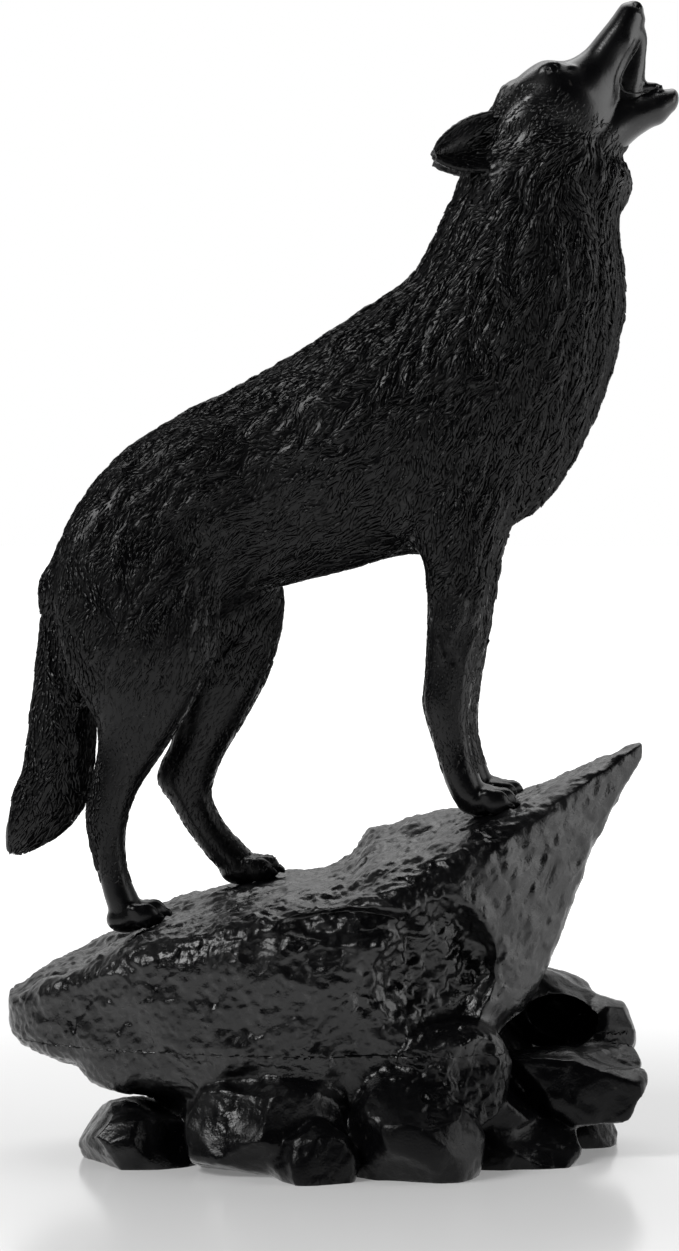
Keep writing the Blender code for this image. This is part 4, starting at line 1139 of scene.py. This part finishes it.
def new_material(name):
    """A material, its tree, its shader and its object-space place."""
    material = bpy.data.materials.new(name)
    material.use_nodes = True
    tree = material.node_tree
    place = add_node(tree, "TexCoord").outputs["Object"]
    return material, tree, tree.nodes["Principled BSDF"], place


def paint(name, shine, peel, shaded_mirror, slope, level):
    """Black paint: uneven gloss, an orange peel of the given height, and a little dust.

    It mirrors less below a slanted level, a painted shade on the lower parts and a painted sheen on
    the upper ones: slope is the way up from it, and level is how far along slope the change begins and
    ends.
    """
    mirror, glossiest, dullest = shine
    material, tree, shader, place = new_material(name)
    link = tree.links.new

    def waves(size, detail, before, after):
        texture = add_node(tree, "TexNoise", {"Scale": 1 / (size * MM), "Detail": detail})
        link(place, texture.inputs["Vector"])
        return stretched(tree, texture.outputs["Fac"], before, after)

    link(waves(9.0, 5.0, (0.3, 0.7), (glossiest, dullest)), shader.inputs["Roughness"])
    tone = add_node(tree, "Mix", data_type="RGBA")
    tone.inputs["A"].default_value = PAINT_BLACK
    tone.inputs["B"].default_value = DUST_GREY
    link(waves(1.4, 3.0, (0.66, 0.76), (0.0, 1.0)), tone.inputs["Factor"])
    link(tone.outputs["Result"], shader.inputs["Base Color"])
    bump = add_node(tree, "Bump", {"Strength": 0.5, "Distance": peel})
    link(waves(0.5, 3.0, (0.2, 0.8), (0.0, 1.0)), bump.inputs["Height"])
    link(bump.outputs["Normal"], shader.inputs["Normal"])
    height = add_node(tree, "VectorMath", {1: slope}, operation="DOT_PRODUCT")
    link(place, height.inputs[0])
    patchy = add_node(tree, "Math", operation="ADD")
    link(height.outputs["Value"], patchy.inputs[0])
    link(waves(12.0, 3.0, (0.3, 0.7), (-6 * MM, 6 * MM)), patchy.inputs[1])
    # Painted shade and sheen: the mirror strength drops below the slanted level, so lower parts render
    # darker
    strength = stretched(tree, patchy.outputs["Value"], level, (shaded_mirror, mirror))
    link(strength, shader.inputs["Specular IOR Level"])
    return material


def floor_material():
    """White and a little glossy, and from the camera as bright far off as the background; dimmer near
    the figurine, a painted shade round its base.
    """
    material, tree, shader, place = new_material("white_table")
    link = tree.links.new
    shader.inputs["Base Color"].default_value = FLOOR_WHITE
    shader.inputs["Roughness"].default_value = FLOOR_ROUGHNESS
    shader.inputs["Specular IOR Level"].default_value = 0.5
    ray = add_node(tree, "LightPath")
    mirrored = add_node(tree, "Math", {1: FLOOR_MIRRORED}, operation="MULTIPLY")
    link(ray.outputs["Is Glossy Ray"], mirrored.inputs[0])
    reach = add_node(tree, "VectorMath", operation="LENGTH")
    link(place, reach.inputs[0])
    # Painted shade: the table glows less to the camera near the figurine, a grey pool round the base
    spread = stretched(tree, reach.outputs["Value"], FLOOR_FADE, FLOOR_GLOW, "SMOOTHSTEP")
    glow = add_node(tree, "Math", operation="MULTIPLY_ADD")
    link(ray.outputs["Is Camera Ray"], glow.inputs[0])
    link(spread, glow.inputs[1])
    link(mirrored.outputs["Value"], glow.inputs[2])
    shader.inputs["Emission Color"].default_value = (1, 1, 1, 1)
    link(glow.outputs["Value"], shader.inputs["Emission Strength"])
    return material


def room():
    """What the gloss mirrors: dim before the figurine, bright behind it, white to the camera."""
    world = bpy.data.worlds.new("room")
    bpy.context.scene.world = world
    world.use_nodes = True
    tree = world.node_tree
    link = tree.links.new
    tree.nodes.clear()
    plain = add_node(tree, "Background", {"Strength": ROOM_LIGHT})
    mirrored = add_node(tree, "Background")
    backdrop = add_node(tree, "Background", {"Color": (1, 1, 1, 1), "Strength": 1.0})
    split = add_node(tree, "SeparateXYZ")
    link(add_node(tree, "TexCoord").outputs["Generated"], split.inputs["Vector"])
    mirror_span = (MIRROR_FRONT, MIRROR_BACK)
    brightness = stretched(tree, split.outputs["Y"], MIRROR_FADE, mirror_span, "SMOOTHSTEP")
    link(brightness, mirrored.inputs["Strength"])
    ray = add_node(tree, "LightPath")
    gloss_mix = add_node(tree, "MixShader")
    link(ray.outputs["Is Glossy Ray"], gloss_mix.inputs["Fac"])
    link(plain.outputs["Background"], gloss_mix.inputs[1])
    link(mirrored.outputs["Background"], gloss_mix.inputs[2])
    camera_mix = add_node(tree, "MixShader")
    link(ray.outputs["Is Camera Ray"], camera_mix.inputs["Fac"])
    link(gloss_mix.outputs["Shader"], camera_mix.inputs[1])
    link(backdrop.outputs["Background"], camera_mix.inputs[2])
    link(camera_mix.outputs["Shader"], add_node(tree, "OutputWorld").inputs["Surface"])


def lamp(name, place, aim, size, watts):
    light = bpy.data.lights.new(name, "AREA")
    light.shape = "SQUARE"
    light.size = size
    light.energy = watts
    obj = add_object(name, light)
    obj.location = place
    obj.rotation_euler = (Vector(aim) - Vector(place)).to_track_quat("-Z", "Y").to_euler()


def camera():
    lens = bpy.data.cameras.new("camera")
    lens.lens = CAMERA_LENS
    lens.sensor_fit = "AUTO"
    lens.sensor_width = 36.0
    obj = add_object("camera", lens)
    obj.location = CAMERA_PLACE
    aim = Vector(CAMERA_AIM) - Vector(CAMERA_PLACE)
    obj.rotation_euler = aim.to_track_quat("-Z", "Y").to_euler()
    bpy.context.scene.camera = obj


def coat_parts(points):
    """For each piece of fur, which of the points it covers."""
    x, y, z = (points / MM).T
    share = coat_share(points)
    from_root = x - EAR_ROOT[0], z - EAR_ROOT[1]
    along = (from_root[0] * -0.968 + from_root[1] * -0.25) / (EAR_LENGTH / MM)
    across = from_root[0] * 0.25 - from_root[1] * 0.968
    in_ear = (along > -0.02) & (along < 1.15) & (np.abs(across) < 8) & (np.abs(y) > 8.6)
    tail = (x < -52) & (z > 63.5) & (z < 124)
    mane = (share > 0.15) & (x > -2) & (z > 128 - 0.2 * x) & ~in_ear
    limbs = ((x > 5) & (z < 130) & (z > 84) & (x < 45)) | ((x <= 5) & (z < 100) & (z > 60))
    fur_edge = CHEEK_Z / MM - np.where(x > 40, 0.22, 0.4) * (x - 40)
    face = (z > fur_edge - 1) & (z < fur_edge + 10 - 0.4 * np.abs(x - 44)) & (x < 60)
    ruff = face & (z < fur_edge + 4.5) & ~in_ear
    return {
        "fur_of_mane_and_chest": mane,
        "fur_of_back_and_haunches": (share > 0.15) & ~in_ear & ~tail & ~mane & ~limbs,
        "fur_of_tail": tail,
        "fur_of_legs": limbs & ~tail & ~mane,
        "fur_of_cheeks": ruff & ~mane,
        "fur_of_face_and_ears": (face & ~mane & ~ruff) | in_ear,
    }


def coats(skin):
    """The fur over the skin, one piece for each part of the body."""
    rng = np.random.default_rng(7)
    tree = search_tree(skin)
    for name, kind in FUR_KINDS:
        spacing, *shape = (value * MM for value in kind)
        points = scatter(skin, spacing, name, rng)
        size = 0.85 + 0.25 * ramp(coat_share(points), 0.3, 1.3)
        dressed(name, strokes(name, tree, points, size, shape, rng))


skin = wolf_skin()
dressed("wolf_skin", skin)
dressed("eyes_and_lips", eyes_and_lips())
coats(skin)
rock = cut_at(crag(), 0.0, keep_above=True)
dressed("crag_slab", thinned(cut_at(rock, ROCK_SPLIT, keep_above=True), ROCK_TRIANGLES))
dressed("crag_boulders", thinned(cut_at(rock, ROCK_SPLIT, keep_above=False), ROCK_TRIANGLES))

# The face and the slab mirror more than the wolf below and the boulders: painted sheen above, painted
# shade below
on_wolf = paint(
    "black_on_wolf", WOLF_SHINE, 0.04 * MM, FUR_SHADED_MIRROR, slope=(0.5, 0.0, 1.0), level=(0.236, 0.25)
)
on_rock = paint(
    "black_on_rock", ROCK_SHINE, 0.1 * MM, BOULDER_SHADED_MIRROR, slope=(-0.25, -0.1, 1.0), level=(0.014, 0.028)
)
for piece in bpy.context.scene.objects:
    if piece.type == "MESH" and piece.name != NODE:
        black = on_rock if piece.name.startswith("crag") else on_wolf
        piece.data.materials.clear()
        piece.data.materials.append(black)

table = bpy.data.meshes.new("table")
table.from_pydata([(-3, -3, 0), (3, -3, 0), (3, 3, 0), (-3, 3, 0)], [], [(0, 1, 2, 3)])
table.materials.append(floor_material())
floor = add_object("table", table)

room()
lamp("softbox_left", (-0.8, -0.6, 0.88), (0, 0, 0.13), 0.5, SOFTBOX_LEFT)
lamp("softbox_right", (0.95, -0.15, 0.35), (0, 0, 0.12), 0.7, SOFTBOX_RIGHT)
lamp("softbox_top", (0.0, 0.55, 1.05), (0, 0, 0.12), 0.9, SOFTBOX_TOP)
camera()
bpy.context.scene.view_settings.view_transform = "Standard"
